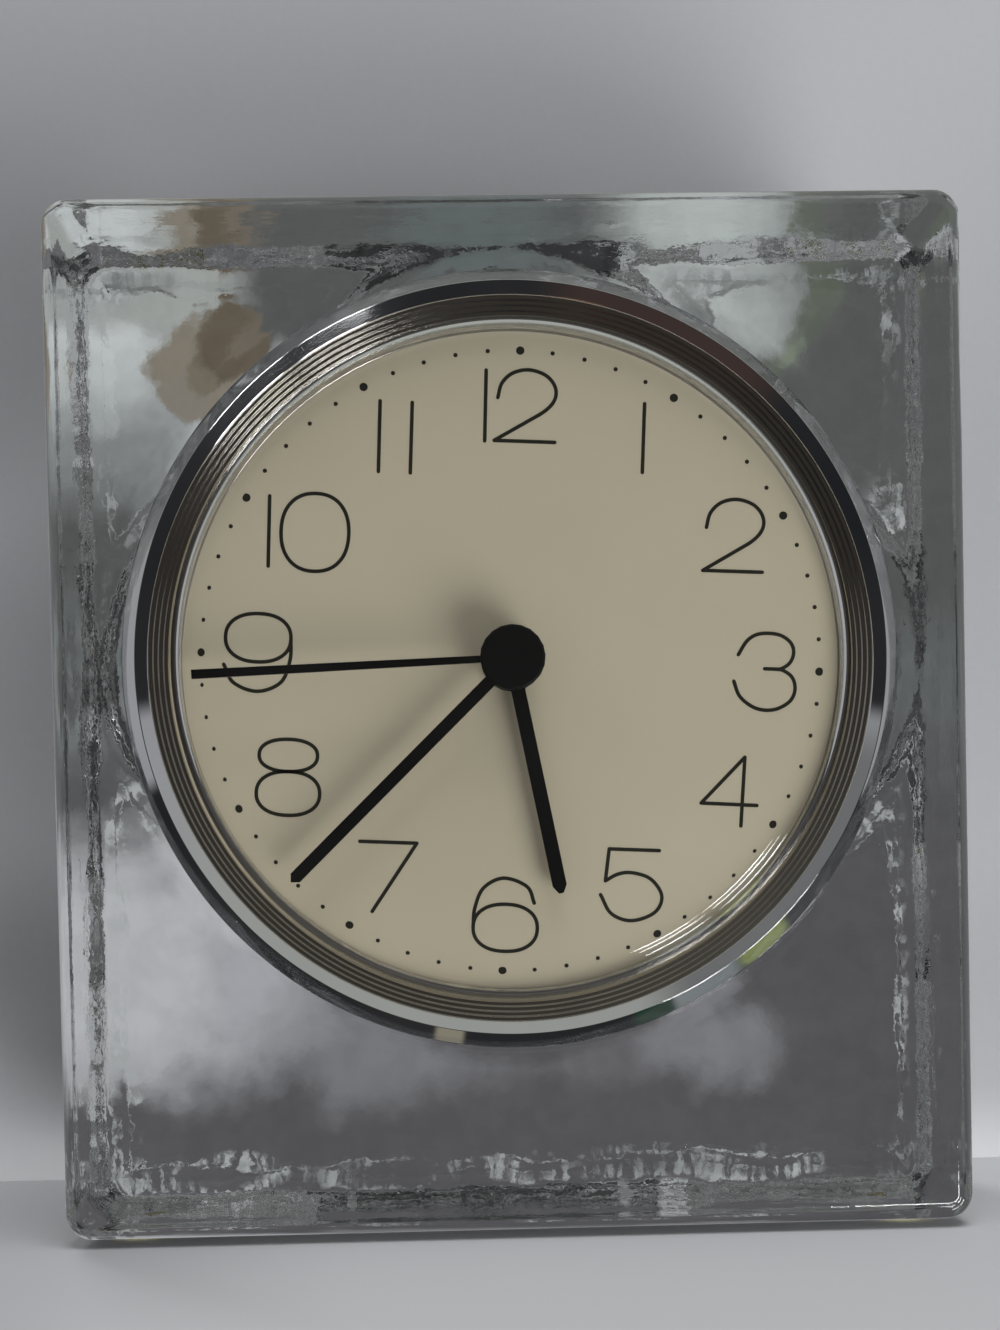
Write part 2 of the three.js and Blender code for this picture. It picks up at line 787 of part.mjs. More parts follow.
function rotor() {
  return join(
    gear(
      rotorTeeth,
      rotorModule,
      rotorPhase,
      intermediateWheelAt - pinionSide,
      intermediateWheelAt + wheelThickness + pinionSide / 2,
    ),
    rod(smallArborRadius, middlePlateAt, backPlateBack),
    rod(magnetRadius, magnetAt, magnetAt + magnetLength, 2 * smallSteps),
  );
}

function thirdWheel() {
  return join(
    gear(thirdTeeth, thirdModule, thirdPhase, thirdWheelAt, thirdWheelAt + wheelThickness),
    gear(thirdPinionTeeth, centreModule, 0, centreWheelAt - pinionSide, thirdWheelAt + wheelThickness / 2),
    rod(thirdArborRadius, dialBack + 2 * seatGap, middlePlateBack),
  );
}

function centreWheel() {
  const back = centreWheelAt + wheelThickness;
  const wheel = gear(centreTeeth, centreModule, centrePhase, centreWheelAt, back);
  const arborBore = secondsArborRadius + runningGap;
  return cut(wheel, rod(arborBore, centreWheelAt - cutterOverrun, back + cutterOverrun));
}

// Cannon pinion: a tube over the seconds arbor that carries the minute hand
function cannonPinion() {
  const front = minuteWheelAt - pinionSide;
  const back = minuteWheelAt + wheelThickness + pinionSide;
  const body = join(
    gear(cannonTeeth, motionModule, 0, front, back),
    rod(cannonTubeRadius, minuteHandFront, minuteWheelAt + wheelThickness, 2 * smallSteps),
  );
  const arborBore = secondsArborRadius + runningGap;
  return cut(body, rod(arborBore, minuteHandFront - cutterOverrun, back + cutterOverrun));
}

function minuteWheel() {
  const back = minuteWheelAt + wheelThickness;
  const body = join(
    gear(minuteTeeth, motionModule, minutePhase, minuteWheelAt, back),
    gear(minutePinionTeeth, hourModule, 0, hourWheelAt - pinionSide, minuteWheelAt + wheelThickness / 2),
  );
  const front = hourWheelAt - pinionSide - cutterOverrun;
  return cut(body, rod(minutePostRadius + runningGap, front, back + cutterOverrun));
}

// Hour wheel: its tube runs out through the dial and carries the hour hand
function hourWheel() {
  const back = hourWheelAt + wheelThickness;
  const body = join(
    gear(hourTeeth, hourModule, hourPhase, hourWheelAt, back),
    rod(hourTubeRadius, hourHandFront, hourWheelAt + wheelThickness / 2, 2 * smallSteps),
  );
  const tubeBore = hourTubeRadius - tubeWall;
  return cut(body, rod(tubeBore, hourHandFront - cutterOverrun, back + cutterOverrun, 2 * smallSteps));
}

function settingStem() {
  const front = minuteWheelAt - pinionSide;
  const back = minuteWheelAt + wheelThickness + pinionSide;
  return join(
    gear(settingTeeth, motionModule, settingPhase, front, back),
    rod(stemRadius, dialBack + 2 * seatGap, cupDepth + knobLength / 2),
  );
}

function settingKnob() {
  const front = cupDepth + 2 * seatGap;
  const corners = Array.from({ length: 2 * knobRibs }, (_, i) => {
    const angle = (Math.PI * i) / knobRibs;
    const radius = knobRadius - (i % 2) * knobRibDepth;
    return [radius * Math.cos(angle), radius * Math.sin(angle)];
  });
  const grip = plate(polygon(corners), front, knobLength);
  const back = front + knobLength;
  const socket = rod(stemRadius + pressGap, front - cutterOverrun, cupDepth + knobLength / 2 + pressGap);
  const dish = rod(knobDishRadius, back - knobDishDepth, back + cutterOverrun, 2 * smallSteps);
  return cut(grip, socket, dish);
}

// Motor: one flat lamination with a window, its top bar running through the coil
const statorFront = magnetAt + (magnetLength - statorThickness) / 2;
const statorMiddle = statorFront + statorThickness / 2;
const coreTop = coilHeight + coreWidth / 2;
const coreBottom = coilHeight - coreWidth / 2;

function stator() {
  const [rotorX, rotorZ] = rotorCentre;
  const left = bobbinLeft - seatGap;
  const right = bobbinRight + seatGap;
  const poleLeft = rotorX - statorHoleRadius - poleSideWall;
  const poleBottom = rotorZ - statorHoleRadius;
  const windowLow = coilHeight - bobbinRadius - seatGap;
  const outline = polygon([
    [left - statorLeg, coreTop],
    [left - statorLeg, rotorZ + statorLeftEnd],
    [poleLeft, rotorZ + statorWaist],
    [poleLeft, poleBottom],
    [rotorX, poleBottom - poleWall],
    [rotorX + statorHoleRadius + poleWall, poleBottom],
    [statorRight, rotorZ + statorRightEnd],
    [statorRight, coreTop],
  ]);
  outline.holes.push(
    polygon([
      [left, coreBottom],
      [right, coreBottom],
      [right, windowLow],
      [rotorX + statorHoleRadius, windowLow - windowSlope],
      [left, windowLow - windowSlope],
    ]),
  );
  const hole = new THREE.Path();
  hole.absarc(rotorX, rotorZ, statorHoleRadius, 0, 2 * Math.PI);
  outline.holes.push(hole);
  return plate(outline, statorFront, statorThickness, smallSteps);
}

function alongX(geometry, left) {
  return geometry.clone().rotateZ(-Math.PI / 2).translate(left, statorMiddle, coilHeight);
}

function coreSlot(clearance) {
  const half = statorThickness / 2 + clearance;
  return slab(
    bobbinLeft - cutterOverrun,
    bobbinRight + cutterOverrun,
    coreBottom - clearance,
    coreTop + clearance,
    statorMiddle - half,
    statorMiddle + half,
  );
}

function coilBobbin() {
  const length = bobbinRight - bobbinLeft;
  const spool = revolve(
    [
      [0, 0],
      [bobbinRadius, 0],
      [bobbinRadius, flangeThickness],
      [sleeveRadius, flangeThickness],
      [sleeveRadius, length - flangeThickness],
      [bobbinRadius, length - flangeThickness],
      [bobbinRadius, length],
      [0, length],
    ],
    coilSteps,
  );
  return cut(alongX(spool, bobbinLeft), coreSlot(runningGap));
}

function coilWinding() {
  const length = bobbinRight - bobbinLeft - 2 * flangeThickness - 2 * pressGap;
  const wound = tube(windingRadius, sleeveRadius + pressGap, 0, length, coilSteps);
  return alongX(wound, bobbinLeft + flangeThickness + pressGap);
}

const boardBack = middlePlateBack + boardThickness;
const boardMiddle = (boardLeft + boardRight) / 2;

function circuitBoard() {
  return slab(boardLeft, boardRight, boardBottom, boardTop, middlePlateBack, boardBack);
}

function upTheBoard(share) {
  return boardBottom + share * (boardTop - boardBottom);
}

function chip() {
  const blob = revolve(
    [
      [0, boardBack],
      [chipRadius, boardBack],
      [chipTopRadius, boardBack + chipEdgeHeight],
      [0, boardBack + chipHeight],
    ],
    smallSteps,
  );
  return at([boardMiddle, upTheBoard(chipPlace)], blob);
}

function crystalCan() {
  const can = new THREE.CylinderGeometry(crystalCanRadius, crystalCanRadius, crystalCanLength, smallSteps);
  can.rotateX(Math.PI / 2);
  can.translate(boardMiddle, boardBack + crystalCanRadius + pressGap, upTheBoard(crystalCanPlace));
  return can;
}

// Battery and its two spring contacts
function battery() {
  const cell = revolve(
    [
      [0, 0],
      [batteryRadius, 0],
      [batteryRadius, batteryLength],
      [nubRadius, batteryLength],
      [nubRadius, batteryLength + nubLength],
      [0, batteryLength + nubLength],
    ],
    batterySteps,
  );
  cell.rotateZ(-Math.PI / 2);
  cell.translate(batteryShift - batteryLength / 2, batteryAxisDepth, -batteryDrop);
  return cell;
}

function contactPositive() {
  const outer = frameHalfInside - seatGap;
  const inner = outer - contactThickness;
  const top = bayTop - pressGap;
  const under = top - contactThickness + pressGap;
  const bevel = (2 - Math.SQRT2) * frameCorner + contactBevelGap;
  const touch = batteryShift + batteryLength / 2 + nubLength + seatGap;
  const dimple = nubRadius / 2;
  const outline = polygon([
    [outer, -batteryDrop - 2 * nubRadius],
    [outer, top - bevel],
    [outer - bevel, top],
    [boardMiddle, top],
    [boardMiddle, under],
    [outer - bevel - contactThickness / 2, under],
    [inner, top - bevel - contactThickness / 2],
    [inner, -batteryDrop + dimple],
    [touch, -batteryDrop + dimple / 2],
    [touch, -batteryDrop - dimple / 2],
    [inner, -batteryDrop - dimple],
    [inner, -batteryDrop - 2 * nubRadius],
  ]);
  return plate(outline, batteryAxisDepth - nubRadius, 2 * nubRadius);
}

function contactNegative() {
  const back = seatGap - frameHalfInside;
  const front = batteryShift - batteryLength / 2 - seatGap;
  const sheet = contactThickness;
  const outline = polygon([
    [back, -batteryDrop - contactReach],
    [back + sheet, -batteryDrop - contactReach],
    [front, -batteryDrop],
    [back + sheet, -batteryDrop + contactReach],
    [back, -batteryDrop + contactReach],
    [back, -batteryDrop + contactReach - sheet],
    [front - sheet, -batteryDrop],
    [back, -batteryDrop - contactReach + sheet],
  ]);
  return plate(outline, batteryAxisDepth - nubRadius, 2 * nubRadius);
}

// A hand: a round hub and one straight blade whose tip outline is given from its left side
function hand(rootWidth, tipPoints, boreRadiusOfHand, front) {
  const shape = new THREE.Shape();
  const turn = Math.asin(rootWidth / 2 / hubRadius);
  shape.absarc(0, 0, hubRadius, Math.PI / 2 + turn, 2.5 * Math.PI - turn);
  [...tipPoints].reverse().forEach(([x, z]) => shape.lineTo(x, z));
  const hole = new THREE.Path();
  hole.absarc(0, 0, boreRadiusOfHand, 0, 2 * Math.PI);
  shape.holes.push(hole);
  return plate(shape, front, handThickness, smallSteps);
}

function hourHand() {
  const half = hourHandWidth / 2;
  const tip = [
    [-half, hourHandLength - hourTipLength],
    [-half / 3, hourHandLength],
    [half / 3, hourHandLength],
    [half, hourHandLength - hourTipLength],
  ];
  return hand(hourHandWidth, tip, hourTubeRadius + pressGap, hourHandFront);
}

function minuteHand() {
  const half = minuteHandWidth / 2;
  const tip = [
    [-half, minuteHandLength - half],
    [0, minuteHandLength],
    [half, minuteHandLength - half],
  ];
  return hand(minuteHandWidth, tip, cannonTubeRadius + pressGap, minuteHandFront);
}

function secondHand() {
  const half = secondHandTipWidth / 2;
  const tip = [
    [-half, secondHandLength],
    [half, secondHandLength],
  ];
  return hand(secondHandRootWidth, tip, secondsArborRadius + pressGap, secondHandFront);
}

function hubCap() {
  const front = secondHandFront - hubCapThickness;
  const chamfer = hubCapThickness / 3;
  return revolve(
    [
      [0, front],
      [hubCapRadius - chamfer, front],
      [hubCapRadius, front + chamfer],
      [hubCapRadius, secondHandFront],
      [0, secondHandFront],
    ],
    2 * smallSteps,
  );
}

// Assembly
const clock = new THREE.Group();
const insert = new THREE.Group();
insert.position.set(0, glassFront, boreCentre);
insert.rotation.y = insertTurn;
clock.add(insert);

function add(parent, name, geometry, material, [x, z] = clockAxis, turn = 0) {
  const mesh = new THREE.Mesh(geometry, material);
  mesh.name = name;
  mesh.position.set(x, 0, z);
  mesh.rotation.y = turn;
  parent.add(mesh);
  return mesh;
}

add(clock, 'glass_block', glassBlock(), clearGlass);

const footX = blockWidth / 2 - footInset;
const footFront = glassFront + rearFootInset;
const footRear = glassFront + blockDepth - rearFootInset;
[['front', footFront], ['rear', footRear]].forEach(([row, y]) => {
  [['left', -footX], ['right', footX]].forEach(([side, x]) => {
    const pad = add(clock, `foot_${row}_${side}`, foot(), clearVinyl);
    pad.position.set(x, y, footThickness / 2);
  });
});

add(insert, 'bezel', bezel(), brightChrome);
add(insert, 'crystal', crystal(), clearAcrylic);
add(insert, 'dial', dial(), creamDial);
add(insert, 'case_cup', caseCup(), blackPlastic);
add(insert, 'grip_band', gripBand(), blackRubber);
add(insert, 'rear_cover', rearCover(), blackPlastic);
bossCentres.forEach((centre, i) => {
  add(insert, `cover_screw_${i + 1}`, screw(cupDepth), steel, centre);
});
add(insert, 'battery_door', batteryDoor(), greyPlastic);

add(insert, 'movement_frame', movementFrame(), blackPlastic);
add(insert, 'middle_plate', middlePlate(), whiteNylon);
add(insert, 'back_plate', backPlate(), blackPlastic);
pillarCentres.forEach((centre, i) => {
  add(insert, `plate_screw_${i + 1}`, screw(backPlateBack), steel, centre);
});
add(insert, 'stator', stator(), steel);
add(insert, 'coil_bobbin', coilBobbin(), whiteNylon);
add(insert, 'coil_winding', coilWinding(), copper);
add(insert, 'circuit_board', circuitBoard(), boardGreen);
add(insert, 'chip', chip(), epoxyBlack);
add(insert, 'quartz_can', crystalCan(), steel);
add(insert, 'battery', battery(), batterySkin);
add(insert, 'contact_positive', contactPositive(), brass);
add(insert, 'contact_negative', contactNegative(), brass);

add(insert, 'rotor', rotor(), magnetGrey, rotorCentre);
add(insert, 'intermediate_wheel', intermediateWheel(), whiteNylon, intermediateCentre);
add(insert, 'seconds_wheel', secondsWheel(), whiteNylon);
add(insert, 'third_wheel', thirdWheel(), whiteNylon, thirdCentre);
add(insert, 'centre_wheel', centreWheel(), whiteNylon);
add(insert, 'cannon_pinion', cannonPinion(), brass);
add(insert, 'minute_wheel', minuteWheel(), whiteNylon, minuteCentre);
add(insert, 'hour_wheel', hourWheel(), brass);
add(insert, 'setting_stem', settingStem(), whiteNylon, settingCentre);
add(insert, 'setting_knob', settingKnob(), greyPlastic, settingCentre);

add(insert, 'hour_hand', hourHand(), handBlack, clockAxis, hourHandAngle);
add(insert, 'minute_hand', minuteHand(), handBlack, clockAxis, minuteHandAngle);
add(insert, 'second_hand', secondHand(), handBlack, clockAxis, secondHandAngle);
add(insert, 'hub_cap', hubCap(), handBlack, clockAxis, secondHandAngle);

export default clock;
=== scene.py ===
import math

import bmesh
import bpy
import numpy as np
from mathutils import Matrix, Vector


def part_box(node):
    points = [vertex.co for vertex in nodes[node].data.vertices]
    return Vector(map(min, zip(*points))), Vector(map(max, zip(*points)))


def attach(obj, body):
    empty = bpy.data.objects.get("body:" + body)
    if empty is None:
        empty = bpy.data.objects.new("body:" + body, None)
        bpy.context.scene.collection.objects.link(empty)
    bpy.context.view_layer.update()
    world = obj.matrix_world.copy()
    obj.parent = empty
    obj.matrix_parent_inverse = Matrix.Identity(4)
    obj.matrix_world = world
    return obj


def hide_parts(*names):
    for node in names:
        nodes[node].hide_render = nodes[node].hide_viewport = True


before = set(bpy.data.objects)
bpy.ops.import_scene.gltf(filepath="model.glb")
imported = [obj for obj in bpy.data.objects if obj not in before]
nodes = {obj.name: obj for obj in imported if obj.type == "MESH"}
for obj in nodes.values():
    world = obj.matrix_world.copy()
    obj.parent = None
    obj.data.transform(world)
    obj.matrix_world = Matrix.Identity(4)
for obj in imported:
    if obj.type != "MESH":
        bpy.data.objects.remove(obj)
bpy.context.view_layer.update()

scene = bpy.context.scene
MM = 0.001

# The photographer's place
# A phone held 200 mm in front of the glass and 22 mm lower than the middle of the dial, turned a degree or so on
# every axis.
camera_data = bpy.data.cameras.new("camera")
camera_data.lens = 46.6
camera_data.sensor_width = 36
camera_data.shift_x = 0.0024
camera_data.shift_y = 0.1691
camera_data.clip_start = 0.01
camera = bpy.data.objects.new("camera", camera_data)
scene.collection.objects.link(camera)
camera_place = (-0.00696, -0.21615, 0.04529)
camera_yaw, camera_pitch, camera_roll = -0.0234, -0.0218, 0.0203
straight_on = Matrix(((1, 0, 0), (0, 0, -1), (0, 1, 0)))
yaw = Matrix.Rotation(camera_yaw, 3, "Z")
pitch = Matrix.Rotation(camera_pitch, 3, "X")
roll = Matrix.Rotation(-camera_roll, 3, "Z")
camera.matrix_world = Matrix.Translation(camera_place) @ (yaw @ pitch @ straight_on @ roll).to_4x4()
scene.camera = camera
scene.view_settings.view_transform = "Standard"

# Daylight in the room
# Soft grey light from all sides, a window low on the right that throws the hands' shadows up to the left, and weaker
# lamps overhead and behind. What metal mirrors and what shows through the glass have looks of their own.
world = bpy.data.worlds.new("room")
scene.world = world
world.use_nodes = True
room = world.node_tree
room.nodes.clear()


def wire(tree, kind, inputs=(), **settings):
    """Adds a node of a kind to a tree, sets its options and fills its inputs, each with a number, a colour or the
    output of another node."""
    node = tree.nodes.new(kind)
    for key, value in settings.items():
        setattr(node, key, value)
    for key, value in dict(inputs).items():
        socket = node.inputs[key]
        if isinstance(value, bpy.types.NodeSocket):
            tree.links.new(value, socket)
        else:
            socket.default_value = value
    return node


def sums(tree, operation, *values):
    """One step of arithmetic on numbers or outputs."""
    return wire(tree, "ShaderNodeMath", enumerate(values), operation=operation).outputs[0]


def at_least(tree, depth, count):
    """1 for a ray that has been thrown back in one way count times or more, and else 0."""
    return sums(tree, "GREATER_THAN", depth, count - 0.5)


def vectors(tree, operation, *values):
    """One step on vectors. SCALE takes a vector and a number, and LENGTH gives a number."""
    sockets = (0, 3) if operation == "SCALE" else (0, 1)
    node = wire(tree, "ShaderNodeVectorMath", zip(sockets, values), operation=operation)
    return node.outputs["Value" if operation == "LENGTH" else "Vector"]


def cloudy(tree, where, scale, detail, output="Fac"):
    """A noise that changes with the place, mostly between 0.3 and 0.7."""
    return wire(tree, "ShaderNodeTexNoise", {"Vector": where, "Scale": scale, "Detail": detail}).outputs[output]


def blended(tree, share, first, second):
    """Mixes two colours by a share: 0 gives the first and 1 the second."""
    node = wire(tree, "ShaderNodeMix", {0: share, 6: first, 7: second}, data_type="RGBA")
    return node.outputs[2]


def faded(tree, value, low, high, bottom=0.0, top=1.0):
    """A smooth step: as the value goes from low to high, the result goes from bottom to top."""
    inputs = {0: value, 1: low, 2: high, 3: bottom, 4: top}
    return wire(tree, "ShaderNodeMapRange", inputs, interpolation_type="SMOOTHSTEP").outputs[0]


def grey(level, tint=(1.0, 1.0, 1.0)):
    """A grey colour, times a tint."""
    return (level * tint[0], level * tint[1], level * tint[2], 1)


compass = wire(room, "ShaderNodeTexCoord").outputs["Generated"]
split = wire(room, "ShaderNodeSeparateXYZ", {0: compass}).outputs
ahead, height = split[1], split[2]
ray = wire(room, "ShaderNodeLightPath").outputs

# What metal mirrors: pale walls over a dark table, with a horizon that is high in front and low behind
horizon_tilt = 0.81
haze = cloudy(room, compass, 2.2, 3)
walls = blended(room, haze, (0.27, 0.285, 0.285, 1), (0.38, 0.375, 0.40, 1))
walls = blended(room, faded(room, height, 0.2, 0.75), walls, (0.335, 0.35, 0.325, 1))
table = blended(room, haze, (0.008, 0.01, 0.013, 1), (0.035, 0.034, 0.034, 1))
over_horizon = sums(room, "ADD", sums(room, "MULTIPLY", ahead, horizon_tilt), height)
mirrored = blended(room, faded(room, over_horizon, -0.18, -0.12), table, walls)
# Things in the room: the direction each lies in, its half-width and its colour
thing_rim = 1.5
things = [
    ((0.57, 0, -0.82), 0.09, (0.28, 0.315, 0.32, 1)),
    ((0.72, 0, -0.69), 0.07, (0.30, 0.36, 0.12, 1)),
    ((0.42, 0, -0.90), 0.05, (0.015, 0.045, 0.025, 1)),
    ((-0.17, 0, -0.98), 0.035, (0.26, 0.24, 0.18, 1)),
    ((-0.42, -0.44, -0.80), 0.28, (0.05, 0.034, 0.03, 1)),
    ((-0.62, -0.44, 0.64), 0.32, (0.17, 0.175, 0.175, 1)),
    ((-0.18, -0.44, -0.88), 0.06, (0.34, 0.16, 0.09, 1)),
]
for way, width, colour in things:
    # A thing dead to the side is seen once straight and once more off the glass's face, so it reaches both ways
    off = vectors(room, "SUBTRACT", compass, way)
    off = vectors(room, "MULTIPLY", off, (1, 1 if way[1] else 0.3, 1))
    inside_thing = faded(room, vectors(room, "LENGTH", off), width, width * thing_rim, 1.0, 0.0)
    mirrored = blended(room, inside_thing, mirrored, colour)
# The side of the camera is dark
camera_side = faded(room, ahead, -0.92, -0.70, 1.0, 0.0)
camera_dark = (0.055, 0.05, 0.045, 1)
mirrored = blended(room, camera_side, mirrored, camera_dark)

# What shows through the glass, straight, after one mirroring in its faces, and after two or more
through = blended(room, faded(room, height, -0.5, 0.4), grey(0.22), (0.48, 0.50, 0.52, 1))
once_mirrored = blended(room, faded(room, ahead, -0.3, -0.15, 1.0, 0.0), grey(0.10), mirrored)
glints = faded(room, cloudy(room, compass, 22, 4), 0.55, 0.64)
often_mirrored = blended(room, glints, grey(0.11), (0.42, 0.44, 0.45, 1))
often_mirrored = blended(room, camera_side, often_mirrored, camera_dark)
through = blended(room, at_least(room, ray["Glossy Depth"], 1), through, once_mirrored)
through = blended(room, at_least(room, ray["Glossy Depth"], 2), through, often_mirrored)

soft_light = grey(0.34, (1.0, 1.0, 1.02))
seen = blended(room, ray["Is Camera Ray"], soft_light, (0.42, 0.43, 0.46, 1))
seen = blended(room, ray["Is Glossy Ray"], seen, mirrored)
seen = blended(room, ray["Is Transmission Ray"], seen, through)
seen = blended(room, at_least(room, ray["Diffuse Depth"], 1), seen, soft_light)
sky = wire(room, "ShaderNodeBackground", {"Color": seen, "Strength": 1.0})
wire(room, "ShaderNodeOutputWorld", {"Surface": sky.outputs[0]})


def lamp(name, place, target, size, level):
    """A square lamp that lights but isn't itself seen. Its power is the level times pi squared times the distance
    squared, which lights a white surface at the target that is turned to the lamp as bright as the level."""
    data = bpy.data.lights.new(name, "AREA")
    place, target = Vector(place), Vector(target)
    data.size = size
    data.energy = level * math.pi ** 2 * (place - target).length_squared
    lamp_object = bpy.data.objects.new(name, data)
    turned = (target - place).to_track_quat("-Z", "Y").to_matrix().to_4x4()
    lamp_object.matrix_world = Matrix.Translation(place) @ turned
    lamp_object.visible_camera = lamp_object.visible_transmission = lamp_object.visible_glossy = False
    scene.collection.objects.link(lamp_object)


dial_middle = (0, -0.0141, 0.0675)
lamp("low_window", (0.243, -0.275, -0.207), dial_middle, 0.26, 0.86)
lamp("overhead", (0.1, -0.25, 0.9), (0, 0, 0), 0.5, 0.55)
lamp("behind", (-0.5, 0.8, 0.5), (0, 0.02, 0.06), 0.4, 0.5)

# The slats of a blind in a bright window low on the right, seen only as reflections. A slat has two halves, each with
# its turn round the line of sight in degrees and its width, and leans give the slats' angles away from that line.
slat_distance, slat_height, slat_glare = 0.45, 0.026, 20
slat_halves = [(-56.5, 0.10), (-38, 0.13)]
slat_leans = [38, 50, 68]
for turn, full_width, lean in [(*half, lean) for half in slat_halves for lean in slat_leans]:
    turn, lean = math.radians(turn), math.radians(lean)
    slat_width = full_width * math.sin(lean)
    way = Vector((math.cos(turn) * math.sin(lean), -math.cos(lean), math.sin(turn) * math.sin(lean)))
    along = Vector((0, -1, 0)).cross(way).normalized()
    data = bpy.data.lights.new("slat", "AREA")
    data.shape = "RECTANGLE"
    data.size, data.size_y = slat_width, slat_height
    data.energy = slat_glare * math.pi * slat_width * slat_height
    slat = bpy.data.objects.new("slat", data)
    turned = Matrix((along, way.cross(along), way)).transposed().to_4x4()
    slat.matrix_world = Matrix.Translation(Vector(dial_middle) + way * slat_distance) @ turned
    slat.visible_camera = slat.visible_transmission = slat.visible_diffuse = False
    scene.collection.objects.link(slat)

scene.cycles.max_bounces = 20
scene.cycles.glossy_bounces = 16
scene.cycles.transmission_bounces = 16

# The table it is set on
# A sheet of pale paper under the clock and another standing close behind it, as the clock lay on one in the
# photograph.
paper = bpy.data.materials.new("pale_paper")
paper.use_nodes = True
sheet = paper.node_tree
sheet.nodes.clear()
place = wire(sheet, "ShaderNodeTexCoord").outputs["Object"]
split = wire(sheet, "ShaderNodeSeparateXYZ", {0: place}).outputs
across, up = split[0], split[2]
floor_film = 0.05
on_floor = sums(sheet, "LESS_THAN", up, floor_film * MM)


def patch(middle, reach, soft, where):
    """1 in an upright ellipse in millimetres across and up, falling smoothly to 0 at its rim over the share soft."""
    off = vectors(sheet, "ADD", where, (-middle[0] * MM, 0, -middle[1] * MM))
    off = vectors(sheet, "MULTIPLY", off, (1 / (reach[0] * MM), 0, 1 / (reach[1] * MM)))
    return faded(sheet, vectors(sheet, "LENGTH", off), 1 - soft, 1.0, 1.0, 0.0)


# The paper as the camera sees it, with painted light: the backdrop is painted brightest at its foot, and the floor
# painted brighter on its right
painted_light_rise = 12
paper_colour = blended(sheet, cloudy(sheet, place, 900, 2), (0.47, 0.475, 0.495, 1), (0.50, 0.505, 0.525, 1))
foot_painted_light = faded(sheet, up, 0, painted_light_rise * MM, 1.0, 0.0)
paper_colour = blended(sheet, foot_painted_light, paper_colour, (0.62, 0.625, 0.645, 1))
floor_painted_light = blended(sheet, faded(sheet, across, -0.11, -0.02), (0.43, 0.435, 0.455, 1), (0.545, 0.55, 0.57, 1))
paper_colour = blended(sheet, on_floor, paper_colour, floor_painted_light)
# Painted shade on it: the clock's soft shadows, and darker places on the right and on the floor's left where less
# light falls. Middle and reach in millimetres, the share of the reach that is soft, and depth
painted_shades = [((-10, 124), (75, 26), 0.9, 0.31), ((-66, 122), (28, 34), 0.8, 0.24), ((-66, 26), (24, 26), 0.8, 0.3),
          ((-66, 72), (24, 30), 0.9, 0.12), ((92, 84), (62, 95), 0.7, 0.17), ((74, 18), (28, 32), 0.8, 0.15),
          ((-60, -2), (46, 26), 0.9, 0.24)]
for middle, reach, soft, depth in painted_shades:
    share = sums(sheet, "MULTIPLY", patch(middle, reach, soft, place), depth)
    paper_colour = blended(sheet, share, paper_colour, (0, 0, 0, 1))

# The paper as it shows through the glass is a painted glow: painted shade, as dark grey clouds, for the paper in the
# block's shadow, and painted reflections of the room mirrored in the block's inner faces, as patches whose outlines a
# noise pulls about. A patch is a middle, a reach, the share that is soft, and a colour.
patch_drift = 0.017
drift = cloudy(sheet, place, 90, 3, "Color")
shift = vectors(sheet, "SCALE", vectors(sheet, "SUBTRACT", drift, (0.5, 0.5, 0.5)), patch_drift)
warped = vectors(sheet, "ADD", place, shift)
clouds = cloudy(sheet, place, 55, 3)
lower = blended(sheet, clouds, (0.080, 0.078, 0.085, 1), (0.104, 0.101, 0.110, 1))
painted_through_glass = blended(sheet, clouds, (0.080, 0.084, 0.082, 1), (0.106, 0.109, 0.110, 1))
painted_through_glass = blended(sheet, faded(sheet, up, 0.03, 0.08, 1.0, 0.0), painted_through_glass, lower)
patches = [
    ((-48, 104), (15, 14), 0.95, (0.28, 0.295, 0.30)),
    ((-53, 113), (16, 15), 0.85, (0.52, 0.55, 0.55)),
    ((-42, 118), (12, 6), 0.7, (0.34, 0.355, 0.345)),
    ((-43, 112.5), (4.5, 4.8), 0.3, (0.22, 0.195, 0.16)),
    ((-40.5, 107.5), (4.2, 6.6), 0.3, (0.22, 0.20, 0.17)),
    ((-37.5, 111.5), (5, 5.5), 0.3, (0.175, 0.15, 0.115)),
    ((-34, 111), (4.6, 5.4), 0.4, (0.16, 0.135, 0.108)),
    ((-36.5, 114), (5, 3.4), 0.5, (0.12, 0.098, 0.072)),
    ((-24, 105), (7.5, 4.5), 0.5, (0.15, 0.16, 0.105)),
    ((-31, 104), (1.1, 6), 0.6, (0.02, 0.025, 0.025)),
    ((-3, 115), (18, 6), 0.6, (0.115, 0.132, 0.134)),
    ((27.5, 113), (17.5, 13.5), 0.75, (0.42, 0.455, 0.445)),
    ((42.5, 116), (4.5, 6), 0.8, (0.105, 0.12, 0.095)),
    ((40, 111.5), (3, 4.5), 0.8, (0.20, 0.23, 0.18)),
    ((-46, 68), (5, 14), 0.9, (0.19, 0.205, 0.21)),
    ((47, 66), (5, 16), 0.9, (0.12, 0.128, 0.13)),
    ((-12, 20), (36, 10), 0.8, (0.19, 0.19, 0.205)),
    ((27, 20), (15, 9), 0.7, (0.20, 0.20, 0.215)),
    ((-43, 31), (26, 22), 0.6, (0.36, 0.365, 0.39)),
    ((-51, 32), (15, 22), 0.6, (0.45, 0.455, 0.475)),
]
for middle, reach, soft, colour in patches:
    painted_through_glass = blended(sheet, patch(middle, reach, soft, warped), painted_through_glass, (*colour, 1))
